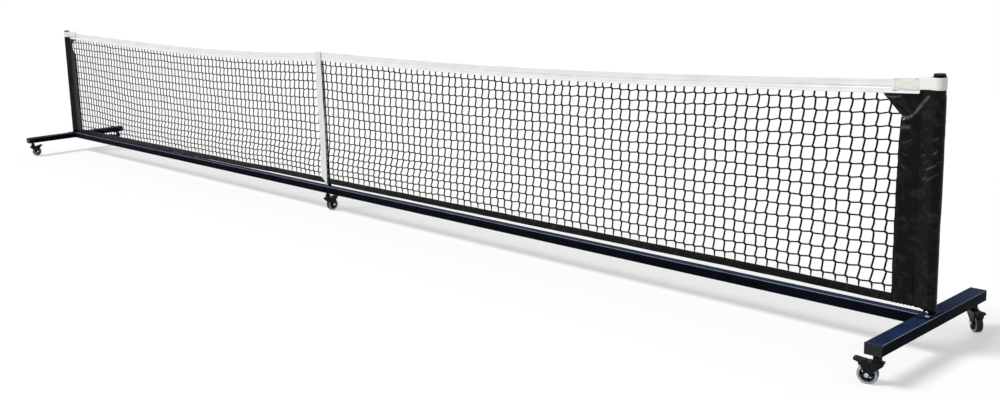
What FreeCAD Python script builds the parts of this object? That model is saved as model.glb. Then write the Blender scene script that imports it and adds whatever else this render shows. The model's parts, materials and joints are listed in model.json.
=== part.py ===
import FreeCAD, Part

import math
import os
import re

import Sketcher

# Portable pickleball net on five braked casters, in millimetres.
# +X runs along the net to its right end, +Y away from the front, +Z up.
# The origin is on the floor, under the middle of the net.

SIZES = {
    # frame
    "half_span": 3295.0,
    "foot_length": 762.0,
    "foot_wide": 56.0,
    "tube_high": 38.1,
    "tube_wall": 1.9,
    "tube_ease": 1.8,
    "foot_under": 102.0,
    "cap_flange": 3.0,
    "cap_plug": 16.0,
    "cap_crown": 15.0,
    "cap_bevel": 1.2,
    "slip": 0.2,
    "rail_wide": 38.1,
    "centre_length": 300.0,
    "joiner_length": 600.0,
    "spigot_length": 80.0,
    "seam": 0.6,
    # posts
    "post_radius": 19.05,
    "post_wall": 1.6,
    "post_top": 924.0,
    "post_cap_top": 931.0,
    "base_thick": 4.0,
    "base_wide": 46.0,
    "base_length": 114.0,
    "base_bevel": 8.0,
    "stub_high": 80.0,
    "bolt_shift": 12.0,
    "bolt_reach": 45.0,
    "bolt_head": 13.0,
    "bolt_head_high": 5.3,
    "cross_head": 10.0,
    "cross_head_high": 4.0,
    "cross_height": 151.0,
    "cross_saddle": 2.0,
    # net and its cloth
    "band_high": 50.8,
    "band_thick": 8.0,
    "band_wall": 1.3,
    "band_end": 3236.0,
    "band_top_end": 911.0,
    "band_top_strap": 908.0,
    "band_top_centre": 876.0,
    "strap_start": 3147.0,
    "sag_left": 36.0,
    "sag_right": 23.0,
    "cord_size": 4.0,
    "cord_drop": 1.8,
    "net_thick": 3.0,
    "net_end": 3186.0,
    "net_below_top": 6.3,
    "net_clear": 0.5,
    "tape_high": 30.0,
    "tape_thick": 6.4,
    "tape_wall": 1.3,
    "tape_end": 3183.0,
    "tape_left": 143.0,
    "tape_right": 156.0,
    "sleeve_bottom": 157.0,
    "sleeve_top": 872.0,
    "sleeve_wall": 1.6,
    "sleeve_gap": 0.5,
    "panel_top": 852.0,
    "panel_thick": 10.4,
    "panel_reach": 127.0,
    "panel_lap": 10.0,
    "neck_reach": 54.0,
    "panel_slot": 6.4,
    "gusset_reach": 177.0,
    "gusset_low": 791.0,
    "strap_high": 38.0,
    "strap_low": 879.0,
    "strap_thick": 2.0,
    "strap_gap": 4.0,
    "strap_reach": 148.0,
    "strap_bend": 70.0,
    "centre_strap_wide": 38.0,
    "centre_strap_tip": 10.0,
    "centre_strap_lift": 0.9,
    "taper_low": 14.0,
    "taper_high": 75.0,
    "centre_gap": 4.7,
    "hook_half": 9.5,
    "hook_wire": 3.0,
    "hook_clear": 3.6,
    "hook_ease": 1.4,
    "pole_radius": 6.0,
    "pole_back": 15.5,
    "pole_top": 872.0,
    "pole_plate_half": 19.0,
    "pole_plate_front": 8.2,
    "pole_plate_back": 3.5,
    "pole_plate_thick": 3.0,
    "pole_collar": 16.4,
    "pole_collar_high": 26.0,
    # casters
    "swivel_reach": 349.0,
    "wheel_radius": 31.75,
    "tread_wide": 24.0,
    "hub_radius": 23.0,
    "hub_wide": 26.0,
    "window_inner": 10.5,
    "window_outer": 19.5,
    "trail": 27.0,
    "axle_radius": 4.0,
    "axle_slip": 0.08,
    "fork_wide": 32.0,
    "fork_gap": 27.0,
    "bridge_low": 68.0,
    "bridge_top": 74.0,
    "bridge_end": 30.0,
    "fork_front": 20.0,
    "fork_lip": 8.0,
    "fork_brow": 6.0,
    "fork_brow_up": 54.0,
    "leg_tip": 9.0,
    "leg_foot": 5.0,
    "leg_rise": 3.0,
    "ear_out": 6.0,
    "ear_low": 7.0,
    "crown_radius": 13.5,
    "crown_top": 90.0,
    "kingpin_radius": 4.95,
    "kingpin_hole": 5.0,
    "stem_hex": 19.0,
    "kingpin_head": 15.0,
    "swivel_gap": 0.3,
    "kingpin_head_low": 64.2,
    "pivot_out": 41.0,
    "pivot_up": 68.0,
    "pin_radius": 2.5,
    "pedal_wide": 26.0,
    "pedal_heel": 8.0,
    "pedal_top": 9.6,
    "pedal_slope": 0.12,
    "pedal_tip": 29.0,
    "pedal_tip_low": 5.0,
    "pedal_tip_high": 11.0,
    "pedal_neck": 14.0,
    "grip_start": 9.0,
    "grip_pitch": 5.0,
    "grip_wide": 3.6,
    "grip_ease": 1.0,
    "grip_high": 1.6,
    "shoe_gap": 0.55,
}

SPOKES = 5
SPOKE_FOOT = 0.33
SPOKE_TOP = 0.15
HUB_SIDES = 16
GRIPS = 3
NET_COLUMNS = 36
NET_ROWS = 4
NET_STRAND = 4.0
BAND_STEPS = 10
BRAKE_TRAVEL = 15.0

# Where cloth or webbing leaves the round of a post, as shares of its radius
LEAVES_ALONG = 0.2
LEAVES_ACROSS = 0.98

# Name, swivel axis along X and Y, and the way the wheel trails, in degrees from +X.
CASTERS = [
    ("right_front", "half_span", "-swivel_reach", 195.0),
    ("right_rear", "half_span", "swivel_reach", 315.0),
    ("left_front", "-half_span", "-swivel_reach", 90.0),
    ("left_rear", "-half_span", "swivel_reach", 240.0),
    ("centre", "0", "0", 90.0),
]

ALONG_X = FreeCAD.Vector(1, 0, 0)
ALONG_Y = FreeCAD.Vector(0, 1, 0)
ALONG_Z = FreeCAD.Vector(0, 0, 1)
FOOT_TOP = "foot_under + tube_high"
POST_FOOT = "foot_under + tube_high + base_thick + slip"
INNER_HALF = "(rail_wide / 2 - tube_wall - slip)"

doc = FreeCAD.newDocument("pickleball_net")
sheet = doc.addObject("Spreadsheet::Sheet", "Sizes")
for row, (alias, number) in enumerate(SIZES.items(), start=1):
    sheet.set(f"A{row}", alias)
    sheet.set(f"B{row}", str(number))
    sheet.setAlias(f"B{row}", alias)
doc.recompute()

nodes = {}


def cell(found):
    """A word of an expression, pointing at its cell if it names a size."""
    word = found.group()
    return f"Sizes.{word}" if word in SIZES else word


def bound(text):
    """The expression with each size's name pointing at its cell."""
    return re.sub(r"[a-z_]+", cell, text)


def value(text):
    """The expression's number, in millimetres."""
    return float(sheet.evalExpression(bound(text)))


def tie(item, name, text):
    """Binds one property to an expression of the sheet."""
    item.setExpression(name, bound(text))


def move(item, along, across="0", up="0", turn=0.0, tilt=0.0):
    """Places an object by expressions, tilted about its own X and then turned about Z."""
    rotation = FreeCAD.Rotation(ALONG_Z, turn).multiply(FreeCAD.Rotation(ALONG_X, tilt))
    item.Placement = FreeCAD.Placement(FreeCAD.Vector(0, 0, 0), rotation)
    tie(item, "Placement.Base.x", along)
    tie(item, "Placement.Base.y", across)
    tie(item, "Placement.Base.z", up)


def new_body(label):
    body = doc.addObject("PartDesign::Body", label)
    body.Label = label
    return body


def keep(item, label):
    """Registers a finished sub-part under its node's name."""
    item.Label = label
    nodes[label] = item
    return item


def group(label, parts):
    """Identical separate pieces that share one node."""
    compound = doc.addObject("Part::Compound", label)
    compound.Links = parts
    return keep(compound, label)


def sketch(body, role, loops=(), circles=(), lift=None):
    """A sketch on one of the body's own planes: closed loops of corners, and circles.

    Every corner and radius is an expression, so the sheet drives the whole outline.
    """
    made = body.newObject("Sketcher::SketchObject", "outline")
    plane = [f for f in body.Origin.OriginFeatures if f.Role == role][0]
    made.AttachmentSupport = [(plane, "")]
    made.MapMode = "FlatFace"
    if lift is not None:
        tie(made, "AttachmentOffset.Base.z", lift)
    for corners in loops:
        first = made.GeometryCount
        points = [FreeCAD.Vector(value(a), value(b), 0) for a, b in corners]
        count = len(points)
        for i in range(count):
            made.addGeometry(Part.LineSegment(points[i], points[(i + 1) % count]), False)
        for i in range(count):
            following = first + (i + 1) % count
            made.addConstraint(Sketcher.Constraint("Coincident", first + i, 2, following, 1))
        for i, corner in enumerate(corners):
            for kind, text in zip(("DistanceX", "DistanceY"), corner):
                index = made.addConstraint(
                    Sketcher.Constraint(kind, -1, 1, first + i, 1, value(text))
                )
                tie(made, f"Constraints[{index}]", text)
    for a, b, radius in circles:
        centre = FreeCAD.Vector(value(a), value(b), 0)
        ring = made.addGeometry(
            Part.Circle(centre, FreeCAD.Vector(0, 0, 1), value(radius)), False
        )
        for kind, text in (("DistanceX", a), ("DistanceY", b)):
            index = made.addConstraint(Sketcher.Constraint(kind, -1, 1, ring, 3, value(text)))
            tie(made, f"Constraints[{index}]", text)
        index = made.addConstraint(Sketcher.Constraint("Radius", ring, value(radius)))
        tie(made, f"Constraints[{index}]", radius)
    return made


def pad(body, profile, length, both_ways=True):
    feature = body.newObject("PartDesign::Pad", "pad")
    feature.Profile = profile
    feature.SideType = "Symmetric" if both_ways else "One side"
    tie(feature, "Length", length)
    return feature


def pocket(body, profile, length, both_ways=True, flip=False):
    """A cut, checked to have removed something."""
    doc.recompute()
    before = body.Shape.Volume
    feature = body.newObject("PartDesign::Pocket", "pocket")
    feature.Reversed = flip
    feature.Profile = profile
    feature.SideType = "Symmetric" if both_ways else "One side"
    tie(feature, "Length", length)
    doc.recompute()
    if not body.Shape.Volume < before - 1e-6:
        raise RuntimeError(f"a pocket of {body.Label} removes nothing")
    return feature


def revolve(body, profile, axis):
    """A full turn about an axis of the sketch, V_Axis or H_Axis."""
    feature = body.newObject("PartDesign::Revolution", "turned")
    feature.Profile = profile
    feature.ReferenceAxis = (profile, [axis])
    feature.Angle = 360.0
    return feature


def rectangle(low_a, high_a, low_b, high_b):
    return [(low_a, low_b), (high_a, low_b), (high_a, high_b), (low_a, high_b)]


def mirrored(half):
    """A closed outline from its right half, listed from one end of the middle line round."""
    return half + [(f"-({a})", b) for a, b in reversed(half)]


def hexagon(centre_a, centre_b, across):
    """A hexagon of that size across its flats, with two flats facing along the second axis."""
    flat = f"({across}) / 2"
    tip = f"({across}) * 0.57735"
    half = f"({across}) * 0.288675"
    return [
        (f"{centre_a} + {tip}", f"{centre_b}"),
        (f"{centre_a} + {half}", f"{centre_b} + {flat}"),
        (f"{centre_a} - {half}", f"{centre_b} + {flat}"),
        (f"{centre_a} - {tip}", f"{centre_b}"),
        (f"{centre_a} - {half}", f"{centre_b} - {flat}"),
        (f"{centre_a} + {half}", f"{centre_b} - {flat}"),
    ]


def ease_long_edges(body, direction, size):
    """Eases the outer edges of a tube that run along it."""
    doc.recompute()
    base = body.Tip
    box = base.Shape.BoundBox
    limits = [("x", box.XMin, box.XMax), ("y", box.YMin, box.YMax), ("z", box.ZMin, box.ZMax)]
    names = []
    for number, edge in enumerate(base.Shape.Edges, start=1):
        ends = [v.Point for v in edge.Vertexes]
        along = (ends[-1] - ends[0]).normalize()
        middle = (ends[0] + ends[-1]) * 0.5
        outer = [
            min(abs(getattr(middle, axis) - low), abs(getattr(middle, axis) - high)) < 0.01
            for axis, low, high in limits
        ]
        if abs(along.dot(direction)) > 0.999 and sum(outer) == 2:
            names.append(f"Edge{number}")
    feature = body.newObject("PartDesign::Chamfer", "eased")
    feature.Base = (base, names)
    tie(feature, "Size", size)


def tube_loops(half_wide, low, high):
    """Outer and inner outline of a rectangular tube, in its cross-section."""
    return [
        rectangle(f"-({half_wide})", half_wide, low, high),
        rectangle(
            f"-({half_wide}) + tube_wall",
            f"{half_wide} - tube_wall",
            f"{low} + tube_wall",
            f"{high} - tube_wall",
        ),
    ]


def make_foot(label, side):
    """Cross foot of rectangular tube, with the spigot that its end of the rail slides on.

    side is 1 for the right end and -1 for the left. The body is turned about the vertical
    for the left end, so in its own frame the rail always comes from -X.
    """
    body = new_body(label)
    tube = sketch(body, "XZ_Plane", tube_loops("foot_wide / 2", "foot_under", FOOT_TOP))
    pad(body, tube, "foot_length")
    ease_long_edges(body, ALONG_Y, "tube_ease")
    spigot = sketch(
        body,
        "YZ_Plane",
        tube_loops(INNER_HALF, "foot_under + tube_wall + slip", f"{FOOT_TOP} - tube_wall - slip"),
        lift="-foot_wide / 2 - spigot_length",
    )
    pad(body, spigot, "spigot_length", both_ways=False)
    move(body, f"{side} * half_span", turn=0.0 if side > 0 else 180.0)
    return keep(body, label)


def make_rail(label, start, end, half="rail_wide / 2", low="0", eased=True):
    """Square tube from one X to another; low is how far its underside stands above the feet's."""
    body = new_body(label)
    profile = sketch(
        body,
        "YZ_Plane",
        tube_loops(half, f"foot_under + {low}", f"foot_under + {low} + 2 * {half}"),
        lift=start,
    )
    pad(body, profile, f"({end}) - ({start})", both_ways=False)
    if eased:
        ease_long_edges(body, ALONG_X, "tube_ease")
    return keep(body, label)


def make_end_caps(label):
    """Moulded end caps: a bevelled flange over each foot's mouth, and its plug inside."""
    caps = []
    for number, (side, end) in enumerate([(1, 1), (1, -1), (-1, 1), (-1, -1)]):
        body = new_body(f"cap_{number}")
        flange = sketch(
            body,
            "XZ_Plane",
            [rectangle("-foot_wide / 2", "foot_wide / 2", "foot_under", FOOT_TOP)],
            lift="foot_length / 2",
        )
        pad(body, flange, "cap_flange", both_ways=False)
        doc.recompute()
        base = body.Tip
        outer = base.Shape.BoundBox.YMin
        faces = [
            f"Face{face_number}"
            for face_number, face in enumerate(base.Shape.Faces, start=1)
            if face.BoundBox.YMax < outer + 0.01
        ]
        bevel = body.newObject("PartDesign::Chamfer", "bevel")
        bevel.Base = (base, faces)
        tie(bevel, "Size", "cap_bevel")
        doc.recompute()
        inset = "tube_wall + slip"
        plug = sketch(
            body,
            "XZ_Plane",
            [
                rectangle(
                    f"-foot_wide / 2 + {inset}",
                    f"foot_wide / 2 - ({inset})",
                    f"foot_under + {inset}",
                    f"{FOOT_TOP} - ({inset})",
                )
            ],
            lift="foot_length / 2 - cap_plug",
        )
        pad(body, plug, "cap_plug", both_ways=False)
        move(body, f"{side} * half_span", turn=0.0 if end < 0 else 180.0)
        caps.append(body)
    return group(label, caps)


def make_post(label, side):
    """Round post tube, slid over the stub of its base."""
    body = new_body(label)
    ring = sketch(
        body,
        "XY_Plane",
        circles=[("0", "0", "post_radius"), ("0", "0", "post_radius - post_wall")],
        lift=POST_FOOT,
    )
    pad(body, ring, f"post_top - ({POST_FOOT})", both_ways=False)
    move(body, f"{side} * half_span")
    return keep(body, label)


def make_post_bases(label):
    """Base plates on the feet, each with the stub that carries its post."""
    bases = []
    for number, side in enumerate((1, -1)):
        body = new_body(f"post_base_{number}")
        wide = "base_wide / 2"
        long = "base_length / 2"
        plate = sketch(
            body,
            "XY_Plane",
            [
                mirrored(
                    [
                        (f"{wide} - base_bevel", f"-{long}"),
                        (wide, f"-{long} + base_bevel"),
                        (wide, f"{long} - base_bevel"),
                        (f"{wide} - base_bevel", long),
                    ]
                )
            ],
            lift=FOOT_TOP,
        )
        pad(body, plate, "base_thick", both_ways=False)
        stub = sketch(
            body,
            "XY_Plane",
            circles=[("0", "0", "post_radius - post_wall - slip")],
            lift=f"{FOOT_TOP} + base_thick",
        )
        pad(body, stub, "stub_high", both_ways=False)
        move(body, f"{side} * half_span")
        bases.append(body)
    return group(label, bases)


def make_bolt_heads(label):
    """Hexagon heads: two on each base plate, and one saddled on the front of each post."""
    heads = []
    for side in (1, -1):
        for end in (-1, 1):
            head = new_body(f"base_bolt_{len(heads)}")
            outline = sketch(head, "XY_Plane", [hexagon("0", "0", "bolt_head")])
            pad(head, outline, "bolt_head_high", both_ways=False)
            move(
                head,
                f"{side} * half_span - {end} * bolt_shift",
                f"{end} * bolt_reach",
                f"{FOOT_TOP} + base_thick",
            )
            heads.append(head)
        cross = new_body(f"cross_bolt_{len(heads)}")
        outline = sketch(
            cross,
            "XZ_Plane",
            [hexagon("0", "cross_height", "cross_head")],
            lift="post_radius - cross_saddle",
        )
        pad(cross, outline, "cross_head_high + cross_saddle", both_ways=False)
        saddle = sketch(
            cross,
            "XY_Plane",
            circles=[("0", "0", "post_radius")],
            lift="cross_height + cross_head",
        )
        pocket(cross, saddle, "2 * cross_head", both_ways=False)
        move(cross, f"{side} * half_span")
        heads.append(cross)
    return group(label, heads)


def make_post_caps(label):
    """Moulded caps: a plug in the post's mouth under a crown that slopes in to a flat top."""
    caps = []
    for number, side in enumerate((1, -1)):
        body = new_body(f"post_cap_{number}")
        plug = "post_radius - post_wall - slip"
        profile = sketch(
            body,
            "XZ_Plane",
            [
                [
                    ("0", "post_top - cap_plug"),
                    (plug, "post_top - cap_plug"),
                    (plug, "post_top"),
                    ("post_radius", "post_top"),
                    ("cap_crown", "post_cap_top"),
                    ("0", "post_cap_top"),
                ]
            ],
        )
        revolve(body, profile, "V_Axis")
        move(body, f"{side} * half_span")
        caps.append(body)
    return group(label, caps)


def band_top(x):
    """Height of the headband's top edge: it hangs from the end straps to the centre strap.

    A straight line joins the two heights and a sine dips below it, deepest on the side
    nearer to the centre.
    """
    reach = abs(x)
    start = value("strap_start")
    end_height = value("band_top_strap")
    if reach > start:
        share = (reach - start) / (value("band_end") - start)
        return end_height + share * (value("band_top_end") - end_height)
    share = reach / start
    sag = value("sag_left") if x < 0 else value("sag_right")
    straight = value("band_top_centre") + share * (end_height - value("band_top_centre"))
    return straight - sag * math.sin(math.pi * share**0.75)


def tape_low(x):
    """Height of the bottom tape's lower edge, which falls evenly towards the left end."""
    share = (x + value("tape_end")) / (2 * value("tape_end"))
    return value("tape_left") + share * (value("tape_right") - value("tape_left"))


def stations(end, steps):
    """Evenly spaced places along the net, from its left end to its right."""
    return [-end + 2 * end * i / steps for i in range(steps + 1)]


def strip(upper, lower, places, thick):
    """A flat hanging strip between two edge curves, centred on the net's plane."""
    corners = [FreeCAD.Vector(x, thick / 2, upper(x)) for x in places]
    corners += [FreeCAD.Vector(x, thick / 2, lower(x)) for x in reversed(places)]
    face = Part.Face(Part.makePolygon(corners + corners[:1]))
    return face.extrude(FreeCAD.Vector(0, -thick, 0))


def solid(label, shape):
    """A sub-part whose outline follows a formula."""
    made = doc.addObject("Part::Feature", label)
    made.Shape = shape
    return keep(made, label)


def make_headband(label):
    """Vinyl folded over the net's top edge: two walls joined along the top."""
    end = value("band_end")
    places = stations(end, 2 * BAND_STEPS)
    high = value("band_high")
    wall = value("band_wall")
    outer = strip(band_top, lambda x: band_top(x) - high, places, value("band_thick"))
    places[0] -= 1
    places[-1] += 1
    inner = strip(
        lambda x: band_top(x) - wall,
        lambda x: band_top(x) - high - 1,
        places,
        value("band_thick") - 2 * wall,
    )
    return solid(label, outer.cut(inner))


def make_bottom_tape(label):
    """Vinyl folded under the net's bottom edge."""
    end = value("tape_end")
    high = value("tape_high")
    wall = value("tape_wall")
    outer = strip(lambda x: tape_low(x) + high, tape_low, [-end, end], value("tape_thick"))
    inner = strip(
        lambda x: tape_low(x) + high + 1,
        lambda x: tape_low(x) + wall,
        [-end - 1, end + 1],
        value("tape_thick") - 2 * wall,
    )
    return solid(label, outer.cut(inner))


def make_top_cord(label):
    """Cord in the fold of the headband, which the net's top edge is laced to."""
    drop = value("cord_drop")
    size = value("cord_size")
    places = stations(value("band_end") - 3, 2 * BAND_STEPS)
    return solid(
        label,
        strip(lambda x: band_top(x) - drop, lambda x: band_top(x) - drop - size, places, size),
    )


def make_net(label):
    """Knotted net as one flat sheet with an opening between every few strands.

    Its rows of strands share out the height between the two edges at each place.
    """
    end = value("net_end")
    half = NET_STRAND / 2

    def edge_high(x):
        return band_top(x) - value("net_below_top")

    def edge_low(x):
        return tape_low(x) + value("tape_wall")

    def row_height(x, row):
        return edge_low(x) + (edge_high(x) - edge_low(x)) * row / NET_ROWS

    places = stations(end, NET_COLUMNS)
    back = value("net_thick") / 2
    rim = [FreeCAD.Vector(x, back, edge_low(x)) for x in places]
    rim += [FreeCAD.Vector(x, back, edge_high(x)) for x in reversed(places)]
    wires = [Part.makePolygon(rim + rim[:1])]
    for left, right in zip(places, places[1:]):
        a, b = left + half, right - half
        for row in range(NET_ROWS):
            corners = [
                FreeCAD.Vector(a, back, row_height(a, row) + half),
                FreeCAD.Vector(b, back, row_height(b, row) + half),
                FreeCAD.Vector(b, back, row_height(b, row + 1) - half),
                FreeCAD.Vector(a, back, row_height(a, row + 1) - half),
            ]
            wires.append(Part.makePolygon(corners + corners[:1]))
    face = Part.makeFace(wires, "Part::FaceMakerBullseye")
    return solid(label, face.extrude(FreeCAD.Vector(0, -2 * back, 0)))


def make_sleeve(label, side):
    """End sleeve: a pocket round the post and a flat panel with a corner gusset."""
    body = new_body(label)
    outer = "post_radius + sleeve_gap + sleeve_wall"
    start = "-post_radius - panel_lap"
    wedge = sketch(
        body,
        "XY_Plane",
        [
            [
                ("-neck_reach", "-panel_thick / 2"),
                (f"-{LEAVES_ALONG} * ({outer})", f"-{LEAVES_ACROSS} * ({outer})"),
                (f"-{LEAVES_ALONG} * ({outer})", f"{LEAVES_ACROSS} * ({outer})"),
                ("-neck_reach", "panel_thick / 2"),
            ]
        ],
        lift="sleeve_bottom",
    )
    pad(body, wedge, "sleeve_top - sleeve_bottom", both_ways=False)
    tube = sketch(body, "XY_Plane", circles=[("0", "0", outer)], lift="sleeve_bottom")
    pad(body, tube, "sleeve_top - sleeve_bottom", both_ways=False)
    panel = sketch(
        body,
        "XZ_Plane",
        [
            [
                (start, "sleeve_bottom"),
                ("-panel_reach", "sleeve_bottom"),
                ("-panel_reach", "gusset_low"),
                ("-gusset_reach", "panel_top"),
                (start, "panel_top"),
            ]
        ],
    )
    pad(body, panel, "panel_thick")
    bore = sketch(
        body,
        "XY_Plane",
        circles=[("0", "0", "post_radius + sleeve_gap")],
        lift="sleeve_top + 1",
    )
    pocket(body, bore, "sleeve_top - sleeve_bottom + 2", both_ways=False)
    slot = sketch(
        body,
        "XY_Plane",
        [
            rectangle(
                "-gusset_reach - 1",
                "net_end - half_span + net_clear",
                "-panel_slot / 2",
                "panel_slot / 2",
            )
        ],
        lift="sleeve_top + 1",
    )
    pocket(body, slot, "sleeve_top - sleeve_bottom + 2", both_ways=False)
    move(body, f"{side} * half_span", turn=0.0 if side > 0 else 180.0)
    return keep(body, label)


def strap_outline(offset):
    """Half of the strap's run: along the band's face, then out to meet the post's side."""
    return [
        ("-strap_reach", f"strap_gap + {offset}"),
        ("-strap_bend", f"strap_gap + {offset}"),
        (
            f"-{LEAVES_ALONG} * (post_radius + sleeve_gap + {offset})",
            f"{LEAVES_ACROSS} * (post_radius + sleeve_gap + {offset})",
        ),
    ]


def strap_loop(offset, longer):
    """The whole run, with its mirror image at the back, as one closed outline."""
    front = [(f"{a} - {longer}" if a == "-strap_reach" else a, b) for a, b in strap_outline(offset)]
    return [(a, f"-({b})") for a, b in front] + list(reversed(front))


def make_end_straps(label):
    """End straps: webbing sewn on both faces of the headband and looped round each post."""
    straps = []
    for side in (1, -1):
        body = new_body(f"strap_{len(straps)}")
        outer = sketch(body, "XY_Plane", [strap_loop("strap_thick", "0")], lift="strap_low")
        pad(body, outer, "strap_high", both_ways=False)
        ring = sketch(
            body,
            "XY_Plane",
            circles=[("0", "0", "post_radius + sleeve_gap + strap_thick")],
            lift="strap_low",
        )
        pad(body, ring, "strap_high", both_ways=False)
        above = "strap_low + strap_high + 1"
        inner = sketch(body, "XY_Plane", [strap_loop("0", "1")], lift=above)
        pocket(body, inner, "strap_high + 2", both_ways=False)
        bore = sketch(
            body, "XY_Plane", circles=[("0", "0", "post_radius + sleeve_gap")], lift=above
        )
        pocket(body, bore, "strap_high + 2", both_ways=False)
        move(body, f"{side} * half_span", turn=0.0 if side > 0 else 180.0)
        straps.append(body)
    return group(label, straps)


def make_centre_strap(label):
    """Centre strap: a closed loop of webbing over the headband, drawn in at its lower end."""
    body = new_body(label)
    top = "band_top_centre"
    wide = "centre_strap_wide / 2"
    tip = "centre_strap_tip / 2"
    bottom = f"{FOOT_TOP} + centre_strap_lift"
    face = sketch(
        body,
        "XZ_Plane",
        [
            mirrored(
                [
                    (tip, bottom),
                    (tip, f"{bottom} + taper_low"),
                    (wide, f"{bottom} + taper_high"),
                    (wide, f"{top} + strap_thick"),
                ]
            )
        ],
    )
    pad(body, face, "2 * (centre_gap + strap_thick)")
    inside = sketch(
        body,
        "YZ_Plane",
        [rectangle("-centre_gap", "centre_gap", f"{bottom} + strap_thick", top)],
    )
    pocket(body, inside, "2 * centre_strap_wide")
    return keep(body, label)


def make_strap_hook(label):
    """Steel staple on the rail that the centre strap's lower end passes under."""
    body = new_body(label)
    inner = "hook_half - hook_wire"
    top = f"{FOOT_TOP} + hook_clear + hook_wire"
    outline = sketch(
        body,
        "XZ_Plane",
        [
            mirrored(
                [
                    (inner, f"{FOOT_TOP} + hook_clear"),
                    (inner, FOOT_TOP),
                    ("hook_half", FOOT_TOP),
                    ("hook_half", f"{top} - hook_ease"),
                    ("hook_half - hook_ease", top),
                ]
            )
        ],
    )
    pad(body, outline, "hook_wire")
    return keep(body, label)


def make_pole(label):
    """Centre support rod behind the net, with its moulded foot on the rail."""
    body = new_body(label)
    plate = sketch(
        body,
        "XY_Plane",
        [
            rectangle(
                "-pole_plate_half", "pole_plate_half", "-pole_plate_front", "pole_plate_back"
            )
        ],
        lift=FOOT_TOP,
    )
    pad(body, plate, "pole_plate_thick", both_ways=False)
    collar = sketch(body, "XY_Plane", [hexagon("0", "0", "pole_collar")], lift=FOOT_TOP)
    pad(body, collar, "pole_collar_high", both_ways=False)
    ring = sketch(body, "XY_Plane", circles=[("0", "0", "pole_radius")], lift=FOOT_TOP)
    pad(body, ring, f"pole_top - ({FOOT_TOP})", both_ways=False)
    move(body, "0", "pole_back")
    return keep(body, label)


def place_caster(body, along, across, turn, out="0", up="0"):
    """Sets a caster piece on its swivel axis; out and up shift it in the caster's own frame."""
    angle = math.radians(turn)
    move(
        body,
        f"{along} + ({out}) * {math.cos(angle):.9f}",
        f"{across} + ({out}) * {math.sin(angle):.9f}",
        up,
        turn=turn,
    )


def make_stems(label):
    """Hexagons welded under the tubes, each with the king pin and head that hang a fork."""
    stems = []
    for caster, along, across, turn in CASTERS:
        body = new_body(f"{caster}_stem")
        hex_part = sketch(
            body, "XY_Plane", [hexagon("0", "0", "stem_hex")], lift="crown_top + swivel_gap"
        )
        pad(body, hex_part, "foot_under - crown_top - swivel_gap", both_ways=False)
        low = "kingpin_head_low"
        pin = sketch(body, "XY_Plane", circles=[("0", "0", "kingpin_radius")], lift=low)
        pad(body, pin, f"foot_under - {low}", both_ways=False)
        head = sketch(body, "XY_Plane", [hexagon("0", "0", "kingpin_head")], lift=low)
        pad(body, head, f"bridge_low - swivel_gap - {low}", both_ways=False)
        place_caster(body, along, across, turn)
        stems.append(body)
    return group(label, stems)


def make_fork(label, along, across, turn):
    """Fork: round crown, bridge and two legs, joined by the axle's shank and the brake's rivet."""
    body = new_body(label)
    side = sketch(
        body,
        "XZ_Plane",
        [
            [
                ("-fork_front", "bridge_top"),
                ("-fork_front", "bridge_top - fork_lip"),
                ("-fork_brow", "fork_brow_up"),
                ("trail - leg_tip", "wheel_radius + leg_rise"),
                ("trail - leg_foot", "wheel_radius - leg_tip"),
                ("trail + leg_foot", "wheel_radius - leg_tip"),
                ("trail + leg_tip", "wheel_radius + leg_rise"),
                ("pivot_out + ear_out", "pivot_up - ear_low"),
                ("pivot_out + ear_out", "pivot_up"),
                ("pivot_out", "bridge_top"),
            ]
        ],
    )
    pad(body, side, "fork_wide")
    crown = sketch(body, "XY_Plane", circles=[("0", "0", "crown_radius")], lift="bridge_top")
    pad(body, crown, "crown_top - bridge_top", both_ways=False)
    wheel_space = sketch(
        body,
        "XZ_Plane",
        [
            [
                ("-2 * fork_front", "0"),
                ("3 * trail", "0"),
                ("3 * trail", "crown_top"),
                ("bridge_end", "crown_top"),
                ("bridge_end", "bridge_low"),
                ("-2 * fork_front", "bridge_low"),
            ]
        ],
    )
    pocket(body, wheel_space, "fork_gap")
    kingpin = sketch(body, "XY_Plane", circles=[("0", "0", "kingpin_hole")], lift="crown_top + 1")
    pocket(body, kingpin, "crown_top - bridge_low + 2", both_ways=False)
    pins = sketch(
        body,
        "XZ_Plane",
        circles=[
            ("trail", "wheel_radius", "axle_radius"),
            ("pivot_out", "pivot_up", "pin_radius"),
        ],
    )
    pad(body, pins, "fork_wide - 1")
    place_caster(body, along, across, turn)
    return keep(body, label)


def hub_outline():
    """Many-sided rim of the hub, which keys the tread so it can't turn on the hub."""
    turn = 2 * math.pi / HUB_SIDES
    return [
        (f"hub_radius * {math.cos(turn * i):.6f}", f"hub_radius * {math.sin(turn * i):.6f}")
        for i in range(HUB_SIDES)
    ]


def make_tread(label, along, across, turn):
    """Tread ring moulded on the hub's keyed rim."""
    body = new_body(label)
    ring = sketch(body, "XZ_Plane", [hub_outline()], circles=[("0", "0", "wheel_radius")])
    pad(body, ring, "tread_wide")
    place_caster(body, along, across, turn, "trail", "wheel_radius")
    return keep(body, label)


def window_outline():
    """One opening between two spokes: a narrow foot and a wide arched top."""
    narrow = math.pi / SPOKES - SPOKE_FOOT
    wide = math.pi / SPOKES - SPOKE_TOP
    places = [
        ("window_inner", -narrow),
        ("window_inner", narrow),
        ("window_outer", wide),
        ("window_outer", wide / 2),
        ("window_outer", -wide / 2),
        ("window_outer", -wide),
    ]
    return [
        (f"{radius} * {math.sin(angle):.6f}", f"{radius} * {math.cos(angle):.6f}")
        for radius, angle in places
    ]


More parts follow.
